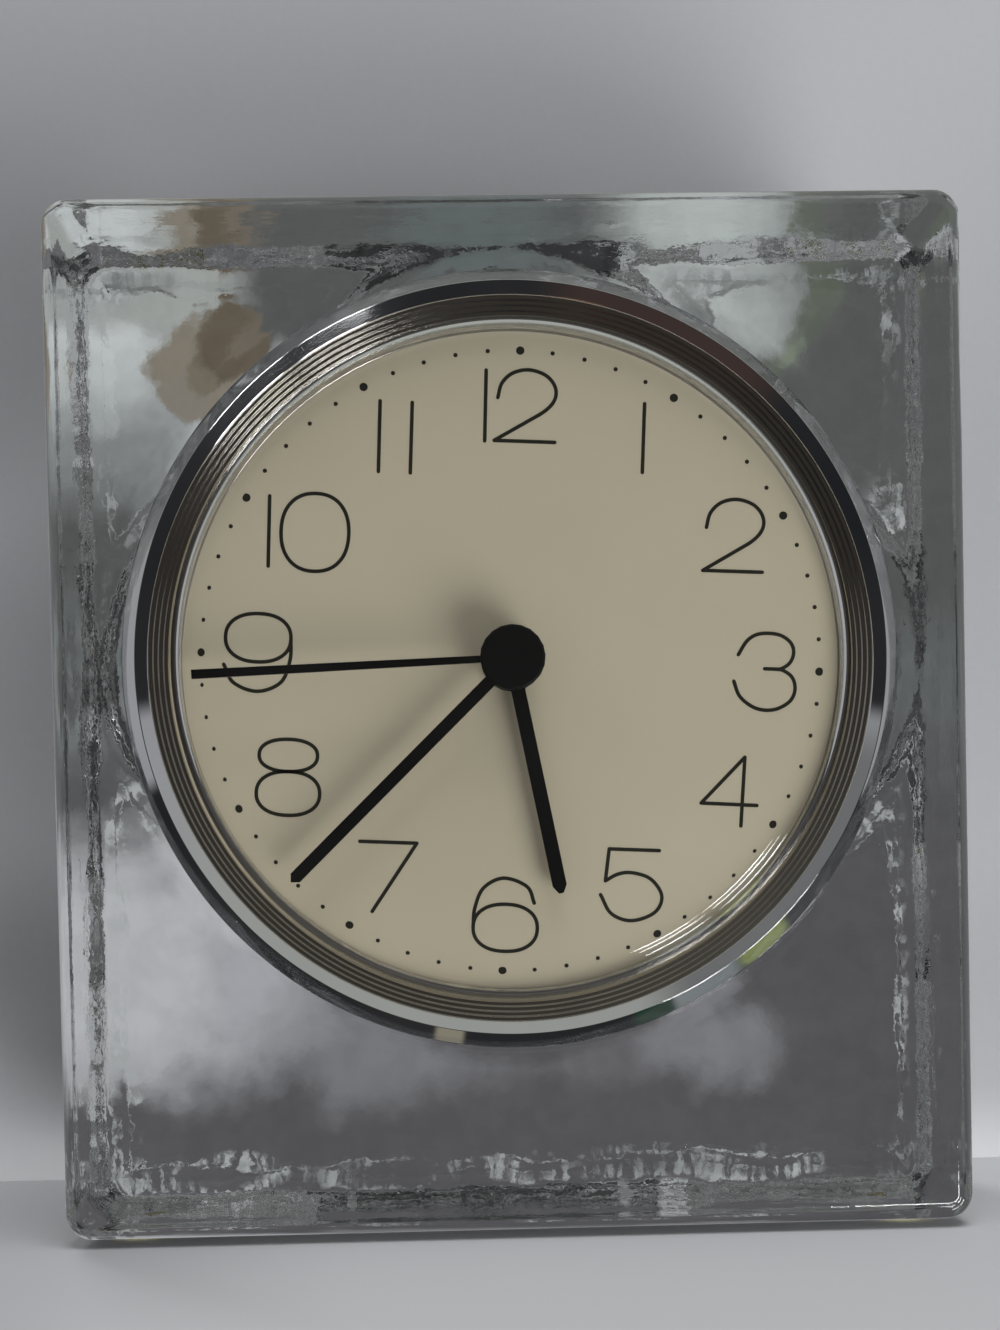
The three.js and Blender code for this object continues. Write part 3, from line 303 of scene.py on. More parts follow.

# A painted highlight for the mould's seam catching the light along the outline of the back: a wandering band of short
# white strokes painted on the paper behind it, round a rectangle given by its middle and its reach
seam_middle, seam_reach, seam_wander = (0.6, 62.0), (52.8, 58.4), 0.4
wandering = vectors(sheet, "ADD", place, vectors(sheet, "SCALE", shift, seam_wander))
wandering = wire(sheet, "ShaderNodeSeparateXYZ", {0: wandering}).outputs
offs = []
for k, axis in enumerate((0, 2)):
    off = sums(sheet, "ABSOLUTE", sums(sheet, "SUBTRACT", wandering[axis], seam_middle[k] * MM))
    offs.append(sums(sheet, "ABSOLUTE", sums(sheet, "SUBTRACT", off, seam_reach[k] * MM)))
band = faded(sheet, sums(sheet, "MINIMUM", *offs), 0.0003, 0.0015, 1.0, 0.0)
upright = vectors(sheet, "MULTIPLY", place, (1, 1, 0.45))
# Painted highlight: the seam's white strokes, broken up by noise
seam = sums(sheet, "MULTIPLY", band, faded(sheet, cloudy(sheet, upright, 900, 3), 0.44, 0.60))
seam = sums(sheet, "MULTIPLY", seam, faded(sheet, cloudy(sheet, place, 60, 3), 0.36, 0.56))
painted_through_glass = blended(sheet, seam, painted_through_glass, (0.38, 0.395, 0.40, 1))
mottle = faded(sheet, cloudy(sheet, place, 330, 4), 0.3, 0.7, 0.95, 1.05)
painted_through_glass = vectors(sheet, "SCALE", painted_through_glass, mottle)

# The floor as it shows through the glass is a painted glow too: straight, after one mirroring in its faces, and after
# two or more, when it is painted lighter on the right and has painted glints
ray = wire(sheet, "ShaderNodeLightPath").outputs
far_floor = blended(sheet, faded(sheet, across, 0.0, 0.10), (0.10, 0.10, 0.105, 1), (0.36, 0.37, 0.38, 1))
painted_floor_glints = faded(sheet, cloudy(sheet, place, 30, 3), 0.5, 0.65)
far_floor = blended(sheet, painted_floor_glints, far_floor, (0.28, 0.29, 0.30, 1))
once = at_least(sheet, ray["Glossy Depth"], 1)
floor_look = blended(sheet, once, (0.24, 0.24, 0.25, 1), (0.075, 0.075, 0.078, 1))
floor_look = blended(sheet, at_least(sheet, ray["Glossy Depth"], 2), floor_look, far_floor)
painted_through_glass = blended(sheet, on_floor, painted_through_glass, floor_look)

# The painted glow is what shows through the glass and the lit paper is what shows elsewhere. From behind the sheet is
# clear.
lit = wire(sheet, "ShaderNodeBsdfDiffuse", {"Color": paper_colour}).outputs[0]
glow = wire(sheet, "ShaderNodeEmission", {"Color": painted_through_glass}).outputs[0]
both = wire(sheet, "ShaderNodeMixShader", {0: ray["Is Transmission Ray"], 1: lit, 2: glow}).outputs[0]
clear = wire(sheet, "ShaderNodeBsdfTransparent").outputs[0]
from_behind = wire(sheet, "ShaderNodeNewGeometry").outputs["Backfacing"]
one_sided = wire(sheet, "ShaderNodeMixShader", {0: from_behind, 1: both, 2: clear})
wire(sheet, "ShaderNodeOutputMaterial", {"Surface": one_sided.outputs[0]})


def paper_sheet(name, corners):
    """A flat sheet with its corners in millimetres, which casts neither shadow nor light on the clock."""
    mesh = bpy.data.meshes.new(name)
    mesh.from_pydata([[c * MM for c in corner] for corner in corners], [], [(0, 1, 2, 3)])
    mesh.materials.append(paper)
    stage = bpy.data.objects.new(name, mesh)
    scene.collection.objects.link(stage)
    stage.visible_shadow = stage.visible_diffuse = stage.visible_glossy = False


floor_reach = 3000
wall_place = 28.9
paper_sheet("floor", [(-floor_reach, -floor_reach, 0), (floor_reach, -floor_reach, 0),
                      (floor_reach, floor_reach, 0), (-floor_reach, floor_reach, 0)])
paper_sheet("backdrop", [(-floor_reach, wall_place, 0), (floor_reach, wall_place, 0),
                         (floor_reach, wall_place, floor_reach), (-floor_reach, wall_place, floor_reach)])

# Glass block
# A thick block of clear soda glass, pressed hot in a mould: the front is flat and fire-polished, the mould has
# crinkled the rear edge, and the bore goes right through with a wide flare in front and a small one behind.
glass_front = -16.15
bore_height = 67.5
block_half_width, block_foot, block_top, block_depth = 53.5, 0.8, 121.8, 38.0
corner_radius, edge_radius = 3.2, 2.4
bore_radius, front_lip, rear_lip = 42.0, 5.6, 1.6
crinkle_band, most_drawn = 9, 2.4
seam_width, pucker_width = 4.6, 0.55


def waves(points, size, seed):
    """Adds up sines that run in random directions, each with a wavelength near size, to a field of about -1 to 1."""
    count = 26
    draw = np.random.default_rng(seed)
    way = draw.normal(size=(count, 3))
    way /= np.linalg.norm(way, axis=1)[:, None]
    length = size * draw.uniform(0.7, 1.5, count)
    phase = draw.uniform(0, 2 * np.pi, count)
    total = np.sin(points @ (way * (2 * np.pi / length)[:, None]).T + phase).sum(axis=-1)
    return total / math.sqrt(count)


def lifted(points, size, seed):
    """A field of waves, clipped and lifted to go from 0 to 2, so that it only ever takes glass away."""
    return 1 + np.clip(waves(points, size, seed), -1, 1)


def surface(name, points, closed=True, smooth=40):
    """Makes a mesh of four-cornered faces over a grid of points in millimetres. Each row of the grid is a ring, and
    with closed the last row joins the first. It merges poles, turns the faces outward by the sign of the volume, and
    keeps edges sharper than smooth degrees crisp."""
    rows, columns = points.shape[:2]
    index = np.arange(rows * columns).reshape(rows, columns)
    down = np.roll(index, -1, 0) if closed else index[1:]
    here = index if closed else index[:-1]
    quads = np.stack([here, down, np.roll(down, -1, 1), np.roll(here, -1, 1)], -1).reshape(-1, 4)
    flat = points.reshape(-1, 3)
    a, b, c, d = (flat[quads[:, k]] for k in range(4))
    volume = np.einsum("ij,ij->", a, np.cross(b, c)) + np.einsum("ij,ij->", a, np.cross(c, d))
    if volume < 0:
        quads = quads[:, ::-1]
    mesh = bpy.data.meshes.new(name)
    mesh.vertices.add(len(flat))
    mesh.vertices.foreach_set("co", (flat * MM).astype(np.float32).ravel())
    mesh.loops.add(quads.size)
    mesh.loops.foreach_set("vertex_index", quads.ravel().astype(np.int32))
    mesh.polygons.add(len(quads))
    mesh.polygons.foreach_set("loop_start", np.arange(0, quads.size, 4, dtype=np.int32))
    mesh.update(calc_edges=True)
    merged = bmesh.new()
    merged.from_mesh(mesh)
    bmesh.ops.remove_doubles(merged, verts=merged.verts, dist=1e-7)
    merged.to_mesh(mesh)
    merged.free()
    mesh.shade_smooth()
    mesh.set_sharp_from_angle(angle=math.radians(smooth))
    piece = bpy.data.objects.new(name, mesh)
    scene.collection.objects.link(piece)
    return piece


def fitted(piece, body, slot, material, *replaced):
    """Gives a piece its material and its body, and hides the CAD nodes that it stands for. The slot is not used."""
    piece.data.materials.clear()
    piece.data.materials.append(material)
    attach(piece, body)
    if replaced:
        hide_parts(*replaced)
    return piece


def rim_stations():
    """Corner centres and outward normals round the block: along each side the centre slides and the normal stays,
    round each corner the centre stays and the normal turns."""
    straight, turn = (170, 190), 18
    half = block_half_width - corner_radius
    low, high = block_foot + corner_radius, block_top - corner_radius
    corners = np.array([(half, low), (half, high), (-half, high), (-half, low)])
    centres, normals = [], []
    for k in range(4):
        start, end = corners[k], corners[(k + 1) % 4]
        t = np.arange(straight[(k + 1) % 2]) / straight[(k + 1) % 2]
        centres.append(start + (end - start) * t[:, None])
        normals.append(np.tile((math.cos(k * math.pi / 2), math.sin(k * math.pi / 2)), (len(t), 1)))
        angle = (k + np.arange(turn) / turn) * math.pi / 2
        centres.append(np.tile(end, (turn, 1)))
        normals.append(np.stack([np.cos(angle), np.sin(angle)], 1))
    return np.concatenate(centres), np.concatenate(normals)


def block_surface():
    """A closed ring of sections. A section goes over the front face, round the front edge, down the side, round the
    rear edge, over the rear face, round the rear lip, through the bore and out over the flare. Points by the rim are
    centre + normal * reach, points by the bore are on circles, and the two faces are straight blends between them."""
    centres, normals = rim_stations()
    inner_reach = corner_radius - edge_radius
    outline = centres + normals * corner_radius
    angle = np.arctan2(outline[:, 1] - bore_height, outline[:, 0])
    towards = np.stack([np.cos(angle), np.sin(angle)], 1)

    def by_rim(reach):
        return centres + normals * reach

    def by_bore(radius):
        return np.array((0, bore_height)) + towards * radius

    steps = {"front": 4, "front_edge": 8, "side": 24, "rear_edge": 12, "seam": 20, "rear": 11, "rear_lip": 6,
             "bore": 4, "flare": 14}
    t = {key: np.arange(n) / n for key, n in steps.items()}
    quarter = {key: t[key] * math.pi / 2 for key in t}
    rows, depths = [], []
    for s in t["front"]:
        rows.append((1 - s) * by_bore(bore_radius + front_lip) + s * by_rim(inner_reach))
        depths.append(0.0)
    for a in quarter["front_edge"]:
        rows.append(by_rim(inner_reach + edge_radius * math.sin(a)))
        depths.append(edge_radius * (1 - math.cos(a)))
    for s in t["side"]:
        rows.append(by_rim(corner_radius))
        depths.append(edge_radius + s * (block_depth - 2 * edge_radius))
    for a in quarter["rear_edge"]:
        rows.append(by_rim(inner_reach + edge_radius * math.cos(a)))
        depths.append(block_depth - edge_radius * (1 - math.sin(a)))
    rim, lip = by_rim(inner_reach), by_bore(bore_radius + rear_lip)
    span = ((rim - lip) * normals).sum(1)
    seam_shares = [s * seam_width / span for s in t["seam"]]
    rear_shares = [(s * span + (1 - s) * seam_width) / span for s in t["rear"]]
    for share in seam_shares + rear_shares:
        rows.append(rim + (lip - rim) * share[:, None])
        depths.append(block_depth)
    for a in quarter["rear_lip"]:
        rows.append(by_bore(bore_radius + rear_lip * (1 - math.sin(a))))
        depths.append(block_depth - rear_lip * (1 - math.cos(a)))
    for s in t["bore"]:
        rows.append(by_bore(bore_radius))
        depths.append(block_depth - rear_lip - s * (block_depth - rear_lip - front_lip))
    for a in quarter["flare"]:
        rows.append(by_bore(bore_radius + front_lip * (1 - math.cos(a))))
        depths.append(front_lip * (1 - math.sin(a)))
    flat = np.array(rows)
    depth = np.repeat(np.array(depths)[:, None], len(centres), 1)
    points = np.stack([flat[..., 0], glass_front + depth, flat[..., 1]], -1)
    ring = np.cumsum([0] + list(steps.values()))
    # Crinkles of the rear edge: the rounding is drawn in by ridges a few millimetres long, most at the top and bottom
    behind = np.clip((depth - (block_depth - crinkle_band)) / crinkle_band, 0, 1)
    on_side = np.zeros_like(depth)
    on_side[ring[2]:ring[4]] = 1
    ridges = 1 - np.abs(waves(points, 7, 3))
    creases = 1 - np.abs(waves(points, 3, 5))
    swell = waves(points, 16, 7)
    draw_in = behind ** 2 * on_side * (0.18 + 0.12 * ridges + 0.05 * creases + 0.12 * swell)
    draw_in += behind ** 3 * on_side * np.abs(normals[:, 1]) * (0.8 + 0.35 * swell)
    # The sides keep the mould's draw marks: shallow waves, longer round the block than along its depth
    draw_in += on_side * (0.05 * lifted(points, 14, 11) + 0.02 * lifted(points * (0.35, 1, 0.35), 4, 41))
    draw_in = np.clip(draw_in, 0, most_drawn)
    points[..., 0] -= draw_in * normals[None, :, 0]
    points[..., 2] -= draw_in * normals[None, :, 1]
    # The rear face sinks a little between the places that touched the mould
    on_back = np.zeros_like(depth)
    on_back[ring[3]:ring[6]] = 1
    on_back[ring[3]:ring[4]] = np.linspace(0.2, 1, steps["rear_edge"])[:, None]
    on_back[ring[5]:ring[6]] = np.clip(np.linspace(3, 0, steps["rear"]), 0, 1)[:, None]
    sink = on_back * (0.10 * lifted(points, 13, 17) + 0.03 * lifted(points, 5, 19))
    # The mould's seam: a wandering line of fine puckers a millimetre or two inside the rear edge
    inward = t["seam"][:, None] * seam_width
    along_edge = points[ring[4]]
    line = 1.1 + 0.8 * np.abs(normals[:, 1]) + 0.7 * waves(along_edge, 18, 23) + 0.25 * waves(along_edge, 5, 37)
    pucker = np.exp(-((inward - line) / pucker_width) ** 2)
    here = points[ring[4]:ring[5]]
    pucker *= 0.11 * lifted(here, 1.5, 29) + 0.09 * lifted(here, 4, 31)
    sink[ring[4]:ring[5]] += pucker
    points[..., 1] -= sink
    return points


def clear_material(name, tint, ior):
    """A clear solid with polished faces."""
    material = bpy.data.materials.new(name)
    material.use_nodes = True
    tree = material.node_tree
    tree.nodes.clear()
    shader = wire(tree, "ShaderNodeBsdfPrincipled", {
        "Base Color": tint, "Roughness": 0.0, "IOR": ior, "Transmission Weight": 1.0})
    wire(tree, "ShaderNodeOutputMaterial", {"Surface": shader.outputs[0]})
    return material


def pebbled(material, scale, strength, distance):
    """Raises a fine noise on a material as a bump, with a strength from 0 to 1 and a height in metres."""
    tree = material.node_tree
    grain = cloudy(tree, wire(tree, "ShaderNodeTexCoord").outputs["Object"], scale, 3)
    bump = wire(tree, "ShaderNodeBump", {"Strength": strength, "Distance": distance, "Height": grain})
    tree.links.new(bump.outputs[0], tree.nodes["Principled BSDF"].inputs["Normal"])


pressed_glass = clear_material("pressed_glass", (0.97, 0.985, 0.98, 1), 1.52)
pebbled(pressed_glass, 420, 0.12, 0.0004)
block = surface("pressed_glass_block", block_surface(), smooth=60)
fitted(block, "root", "clear_glass", pressed_glass, "glass_block")

# Feet
# Four small domed bumpers of vinyl, yellowed with age, stuck under the corners of the block.
foot_radius, foot_height = 4.0, 0.8
foot_slope, foot_rounding = 0.9, 0.7
glue_radius, glue_height = 1.4, 0.06


def lathe(name, profile, steps=640, axis=(0.0, bore_height), upright=False, smooth=30):
    """Carries a profile of (radius, along) points round an axis: along is a depth behind the glass's front face, or,
    for an upright piece, a height above the floor. The profile is closed unless both its ends are on the axis."""
    angle = np.arange(steps) / steps * 2 * np.pi
    radius = np.repeat(np.asarray(profile, float)[:, 0][:, None], steps, 1)
    along = np.repeat(np.asarray(profile, float)[:, 1][:, None], steps, 1)
    first, second = radius * np.cos(angle), radius * np.sin(angle)
    if upright:
        points = np.stack([axis[0] + first, axis[1] + second, along], -1)
    else:
        points = np.stack([axis[0] + first, glass_front + along, axis[1] + second], -1)
    on_axis = profile[0][0] == 0 and profile[-1][0] == 0
    return surface(name, points, closed=not on_axis, smooth=smooth)


def eased(corners, radius, steps, closed=True, hold=0.0):
    """Rounds a profile's corners: each becomes a parabola between two points radius away, or nearer where a side is
    short. With hold, one more point stands that far beyond each, so that the sides between the corners shade flat."""
    here = np.asarray(corners, float)
    before, after = np.roll(here, 1, 0), np.roll(here, -1, 0)
    radius = np.broadcast_to(radius, len(here)).astype(float)

    def step_off(other, more=0.0):
        gap = np.linalg.norm(other - here, axis=1)
        most = gap * (0.3 if hold and not more else 0.45)
        return here + (other - here) / gap[:, None] * np.minimum(radius + more, most)[:, None]

    start, end = step_off(before), step_off(after)
    t = np.linspace(0, 1, steps + 1)[None, :, None]
    arcs = (1 - t) ** 2 * start[:, None] + 2 * t * (1 - t) * here[:, None] + t ** 2 * end[:, None]
    if hold:
        arcs = np.concatenate([step_off(before, hold)[:, None], arcs, step_off(after, hold)[:, None]], 1)
    if not closed:
        arcs[0], arcs[-1] = here[0], here[-1]
    return arcs.reshape(-1, 2)


def moulded(name, colour, second, roughness, grain=600, depth=0.0002, strength=0.15, metallic=0.0, blotch=60,
            sheen=0.5):
    """A procedural finish: two close colours in soft blotches, roughness that varies with them, and a fine grain. The
    sheen is the strength of the mirror-like part, 0.5 for a common plastic."""
    material = bpy.data.materials.new(name)
    material.use_nodes = True
    tree = material.node_tree
    tree.nodes.clear()
    cloud = cloudy(tree, wire(tree, "ShaderNodeTexCoord").outputs["Object"], blotch, 4)
    tone = blended(tree, faded(tree, cloud, 0.35, 0.65), (*colour, 1), (*second, 1))
    rough = faded(tree, cloud, 0.3, 0.7, roughness * 0.85, min(1, roughness * 1.15))
    shader = wire(tree, "ShaderNodeBsdfPrincipled", {
        "Base Color": tone, "Roughness": rough, "Metallic": metallic, "Specular IOR Level": sheen})
    pebbled(material, grain, strength, depth)
    wire(tree, "ShaderNodeOutputMaterial", {"Surface": shader.outputs[0]})
    return material


aged_vinyl = moulded("aged_vinyl", (0.62, 0.56, 0.26), (0.72, 0.66, 0.36), 0.35)
dome = [(0.0, 0.0), (foot_radius - foot_slope, 0.0), (foot_radius, foot_height)]
dome = [tuple(p) for p in eased(dome, foot_rounding, 6, closed=False)]
dome = [(0, 0)] + dome[1:]
for name in ("foot_front_left", "foot_front_right", "foot_rear_left", "foot_rear_right"):
    low, high = (Vector(c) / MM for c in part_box(name))
    middle = (low + high) / 2
    # The rear two have let go of the glass but for a spot of glue, which shows through it
    glue = [(glue_radius, foot_height), (glue_radius, foot_height + glue_height), (0, foot_height + glue_height)]
    top = glue if "rear" in name else [(0, foot_height)]
    foot = lathe(name + "_bumper", dome + top, 64, (middle.x, middle.y), upright=True)
    fitted(foot, "root", "bumper_vinyl", aged_vinyl, name)

# Bezel
# A ring spun and pressed from thin brass and chromed: an outer and an inner facet meet in a crisp crease, and fine
# steps go down to the crystal. Its skirt holds the crystal's foot on the dial.
crease_radius, crease_depth = 43.2, -1.9
inner_facet = (41.9, -0.94)
bezel_lip = 39.6
bezel_profile = [(40.3, 5.2), (41.2, 5.2), (41.2, 0.95), (44.9, 0.34), (45.0, 0.24), (45.0, -0.18), (44.9, -0.30),
                 (crease_radius, crease_depth), inner_facet]
groove_count, groove_drop = 4, 0.2
groove_width = (inner_facet[0] - bezel_lip) / groove_count
for k in range(groove_count):
    radius = inner_facet[0] - k * groove_width
    depth = inner_facet[1] + (k + 1) * groove_drop
    bezel_profile += [(radius - 0.12, depth), (radius - groove_width + 0.08, depth - 0.03)]
bezel_profile += [(bezel_lip, 0.05), (bezel_lip, 0.65), (40.3, 0.7)]
chrome = moulded("bright_chrome", (0.80, 0.80, 0.82), (0.84, 0.84, 0.85), 0.045, 2500, 0.00001, 0.01, metallic=1.0)
# Painted shade: inside the facet the grooves are painted a darker brown, and they are made duller
groove_painted_shade, groove_dulling, groove_shade_rim = (0.41, 0.385, 0.35, 1), 0.14, 0.15
tree = chrome.node_tree
base, rough = (tree.nodes["Principled BSDF"].inputs[key] for key in ("Base Color", "Roughness"))
place = wire(tree, "ShaderNodeTexCoord").outputs["Object"]
from_axis = vectors(tree, "MULTIPLY", vectors(tree, "ADD", place, (0, 0, -bore_height * MM)), (1, 0, 1))
from_axis = vectors(tree, "LENGTH", from_axis)
outside_grooves = faded(tree, from_axis, (inner_facet[0] - groove_shade_rim) * MM, inner_facet[0] * MM)
dull = sums(tree, "MULTIPLY_ADD", outside_grooves, -groove_dulling, groove_dulling)
tree.links.new(blended(tree, outside_grooves, groove_painted_shade, base.links[0].from_socket), base)
tree.links.new(sums(tree, "ADD", rough.links[0].from_socket, dull), rough)
bezel = lathe("chrome_bezel", eased(bezel_profile, 0.06, 3, hold=0.03), smooth=60)
fitted(bezel, "root", "bright_chrome", chrome, "bezel")

# Crystal
# A clear acrylic dome, moulded with a round shoulder and a foot that the bezel holds down on the dial.
crystal_top, crystal_crown, crystal_thick = -5.7, 0.3, 0.8
shoulder_circle, shoulder_radius, crystal_wall = 35.15, 4.0, 39.4
swirl_depth, swirl_count = 0.0015, 26


def crystal_profile():
    """Outside from the middle to the shoulder, a quarter circle, the tapered wall and the foot, then the same back
    inside, one wall thickness in. The crown falls with the square of the radius. The swirl is what the mould left on
    the shoulder: its radius goes up and down by the sine of swirl_count times the angle, fading out at both ends."""
    t = np.linspace(0, 1, 24, endpoint=False)
    radius = t * shoulder_circle
    outside = np.stack([radius, crystal_top + crystal_crown * t ** 2], 1)
    angle = np.linspace(0, np.pi / 2, 48)
    centre = crystal_top + crystal_crown + shoulder_radius
    outer = shoulder_radius + swirl_depth * np.sin(angle * swirl_count) * np.sin(2 * angle)
    bend = np.stack([shoulder_circle + outer * np.sin(angle), centre - outer * np.cos(angle)], 1)
    foot = np.array([(crystal_wall, 0.7), (39.95, 0.72), (39.95, 1.98), (38.85, 2.0)])
    inner = shoulder_radius - crystal_thick
    inside_bend = np.stack([shoulder_circle + inner * np.sin(angle[::-1]), centre - inner * np.cos(angle[::-1])], 1)
    inside = np.stack([radius[::-1], crystal_top + crystal_thick + crystal_crown * t[::-1] ** 2], 1)
    return np.concatenate([outside, bend, foot, inside_bend, inside])


clear_acrylic = clear_material("clear_acrylic", (0.985, 0.985, 0.975, 1), 1.49)
crystal = lathe("domed_crystal", crystal_profile(), smooth=35)
fitted(crystal, "root", "clear_acrylic", clear_acrylic, "crystal")
# A renderer's shadow rays stop at clear solids, so it casts none, or the dial under it would be dark
crystal.visible_shadow = crystal.visible_diffuse = crystal.visible_glossy = False

# Dial
# A steel disc sprayed cream, with plain numbers and sixty dots printed on it in olive black. The insert was pushed
# in a little clockwise of square, so the print is laid out upright and then turned. The disc is the CAD solid.
insert_turn = math.radians(2.8)
dial_face, ink_height = 2.0, 0.018
cream_paint = moulded("cream_paint", (0.40, 0.362, 0.263), (0.422, 0.382, 0.282), 0.62, 1500, 0.0001, 0.06, blotch=25)
nodes["dial"].data.materials.clear()
nodes["dial"].data.materials.append(cream_paint)


def on_dial(across, up, depth):
    """Turns upright dial places clockwise by the insert's turn, about the bore's axis."""
    cos, sin = math.cos(insert_turn), math.sin(insert_turn)
    level = np.full(np.shape(across), glass_front + depth)
    return np.stack([across * cos + up * sin, level, bore_height - across * sin + up * cos], -1)


def flowing(points):
    """A Catmull-Rom curve: each span is the cubic through its ends with the neighbours' chords as slopes."""
    p = np.asarray(points, float)
    p = np.concatenate([2 * p[:1] - p[1:2], p, 2 * p[-1:] - p[-2:-1]])
    t = np.linspace(0, 1, 7, endpoint=False)[None, :, None]
    a, b, c, d = p[:-3, None], p[1:-2, None], p[2:-1, None], p[3:, None]
    spans = 0.5 * (2 * b + (c - a) * t + (2 * a - 5 * b + 4 * c - d) * t ** 2 + (3 * b - a - 3 * c + d) * t ** 3)
    return np.concatenate([spans.reshape(-1, 2), p[-2:-1]])


def inked(path, width, lift, closed=False):
    """A flat ribbon of ink along a path: two edges half a width to either side, with a thickness, and round ends that
    are half circles of shrinking width."""
    end_steps = 5
    path = np.asarray(path, float)
    if closed:
        along = np.roll(path, -1, 0) - np.roll(path, 1, 0)
    else:
        along = np.gradient(path, axis=0)
    along /= np.linalg.norm(along, axis=1)[:, None]
    wide = np.full(len(path), width / 2)
    if not closed:
        bend = np.linspace(0, np.pi / 2, end_steps + 1)[1:]
        start = path[0] - along[0] * np.sin(bend)[::-1, None] * width / 2
        end = path[-1] + along[-1] * np.sin(bend)[:, None] * width / 2
        path = np.concatenate([start, path, end])
        along = np.concatenate([np.tile(along[0], (end_steps, 1)), along, np.tile(along[-1], (end_steps, 1))])
        wide = np.concatenate([np.cos(bend)[::-1] * width / 2, wide, np.cos(bend) * width / 2])
    across = np.stack([-along[:, 1], along[:, 0]], 1) * wide[:, None]
    left, right = path + across, path - across
    top, bottom = dial_face - lift, dial_face
    ribbon = [on_dial(left[:, 0], left[:, 1], top), on_dial(right[:, 0], right[:, 1], top),
              on_dial(right[:, 0], right[:, 1], bottom), on_dial(left[:, 0], left[:, 1], bottom)]
    return surface("stroke", np.stack(ribbon, 1), closed=closed, smooth=60)


def round_path(left, right, low, high):
    """A superellipse in a box: a circle stretched to fit and pushed a little towards its corners. Its sine and cosine
    are raised to 2 over the squareness, which is 2 for an ellipse."""
    steps, squareness = 48, 2.25
    angle = np.arange(steps) / steps * 2 * np.pi
    power = 2 / squareness
    x = np.sign(np.cos(angle)) * np.abs(np.cos(angle)) ** power
    y = np.sign(np.sin(angle)) * np.abs(np.sin(angle)) ** power
    return np.stack([(left + right) / 2 + x * (right - left) / 2, (low + high) / 2 + y * (high - low) / 2], 1)


def two(left, right, low, high):
    """The figure two in a box: a hook over the top, a slope down to the left corner and a foot."""
    hook = np.array([(0.04, 0.60), (0.10, 0.80), (0.27, 0.945), (0.53, 1.0), (0.79, 0.945), (0.945, 0.83),
                     (1.0, 0.69), (0.955, 0.555), (0.81, 0.425), (0.56, 0.29), (0.28, 0.145), (0.0, 0.0)])
    size = np.array((right - left, high - low))
    return [flowing(np.array((left, low)) + hook * size), [(left, low), (right, low)]]


# The 0 of ten, both rings of eight, and the rings of nine and six
loops = [round_path(-27.23, -19.35, 9.81, 18.85), round_path(-29.1, -22.3, -13.56, -9.8),
         round_path(-29.33, -21.94, -18.67, -13.56), round_path(-33.36, -25.75, -0.91, 4.71),
         round_path(-3.59, 3.95, -33.87, -28.34)]
# Twelve, one, two, three, four, five, the tail of six, seven, the tail of nine, the 1 of ten, and eleven
lines = [
    [(-3.9, 33.8), (-3.84, 25.6)], *two(-2.74, 4.33, 25.7, 34.0),
    [(14.7, 30.55), (14.67, 22.56)], *two(22.1, 29.1, 11.4, 19.8),
    flowing([(26.6, 1.7), (27.5, 3.25), (28.55, 4.05), (29.93, 4.3), (31.5, 4.1), (32.7, 3.3), (33.1, 2.2),
             (32.75, 1.0), (31.7, 0.2), (30.6, 0.14), (29.75, 0.14)]),
    flowing([(30.6, 0.14), (31.8, 0.05), (33.0, -0.75), (33.4, -2.13), (32.9, -3.5), (31.5, -4.45), (29.93, -4.71),
             (28.35, -4.3), (26.86, -3.1), (26.17, -1.43)]),
    [(27.75, -10.29), (22.76, -15.81)], [(22.76, -15.81), (29.34, -15.91)], [(27.75, -10.29), (27.53, -18.37)],
    [(18.02, -21.54), (12.12, -21.5)], [(12.12, -21.5), (11.78, -25.26)],
    flowing([(11.78, -25.26), (13.2, -24.45), (14.88, -24.22), (17.1, -24.9), (18.47, -26.85), (17.7, -28.8),
             (15.05, -29.85), (12.6, -29.1), (11.26, -26.9)]),
    flowing([(3.5, -28.1), (2.6, -26.2), (-0.16, -25.28), (-2.5, -26.5), (-3.45, -28.9), (-3.59, -31.1)]),
    [(-17.11, -21.45), (-10.44, -21.49)], [(-10.44, -21.49), (-15.45, -29.6)],
    flowing([(-25.75, 1.9), (-25.8, -0.6), (-26.8, -3.2), (-29.5, -4.33), (-32.3, -3.4), (-33.48, -1.31)]),
    [(-28.65, 18.38), (-28.62, 10.25)],
    [(-16.13, 29.81), (-16.11, 21.64)], [(-12.39, 29.75), (-12.4, 21.6)],
]
# Strokes that cross lie a step apart, so that no two faces share a place
stroke_width, stroke_step = 0.43, 0.001
strokes = [inked(path, stroke_width, ink_height, closed=True) for path in loops]
for k, path in enumerate(lines):
    strokes.append(inked(path, stroke_width, ink_height + stroke_step * (1 + k % 3)))


def joined(name, parts):
    """Makes one object of several meshes."""
    gathered = bmesh.new()
    for part in parts:
        gathered.from_mesh(part.data)
        bpy.data.objects.remove(part)
    mesh = bpy.data.meshes.new(name)
    gathered.to_mesh(mesh)
    gathered.free()
    whole = bpy.data.objects.new(name, mesh)
    scene.collection.objects.link(whole)
    return whole


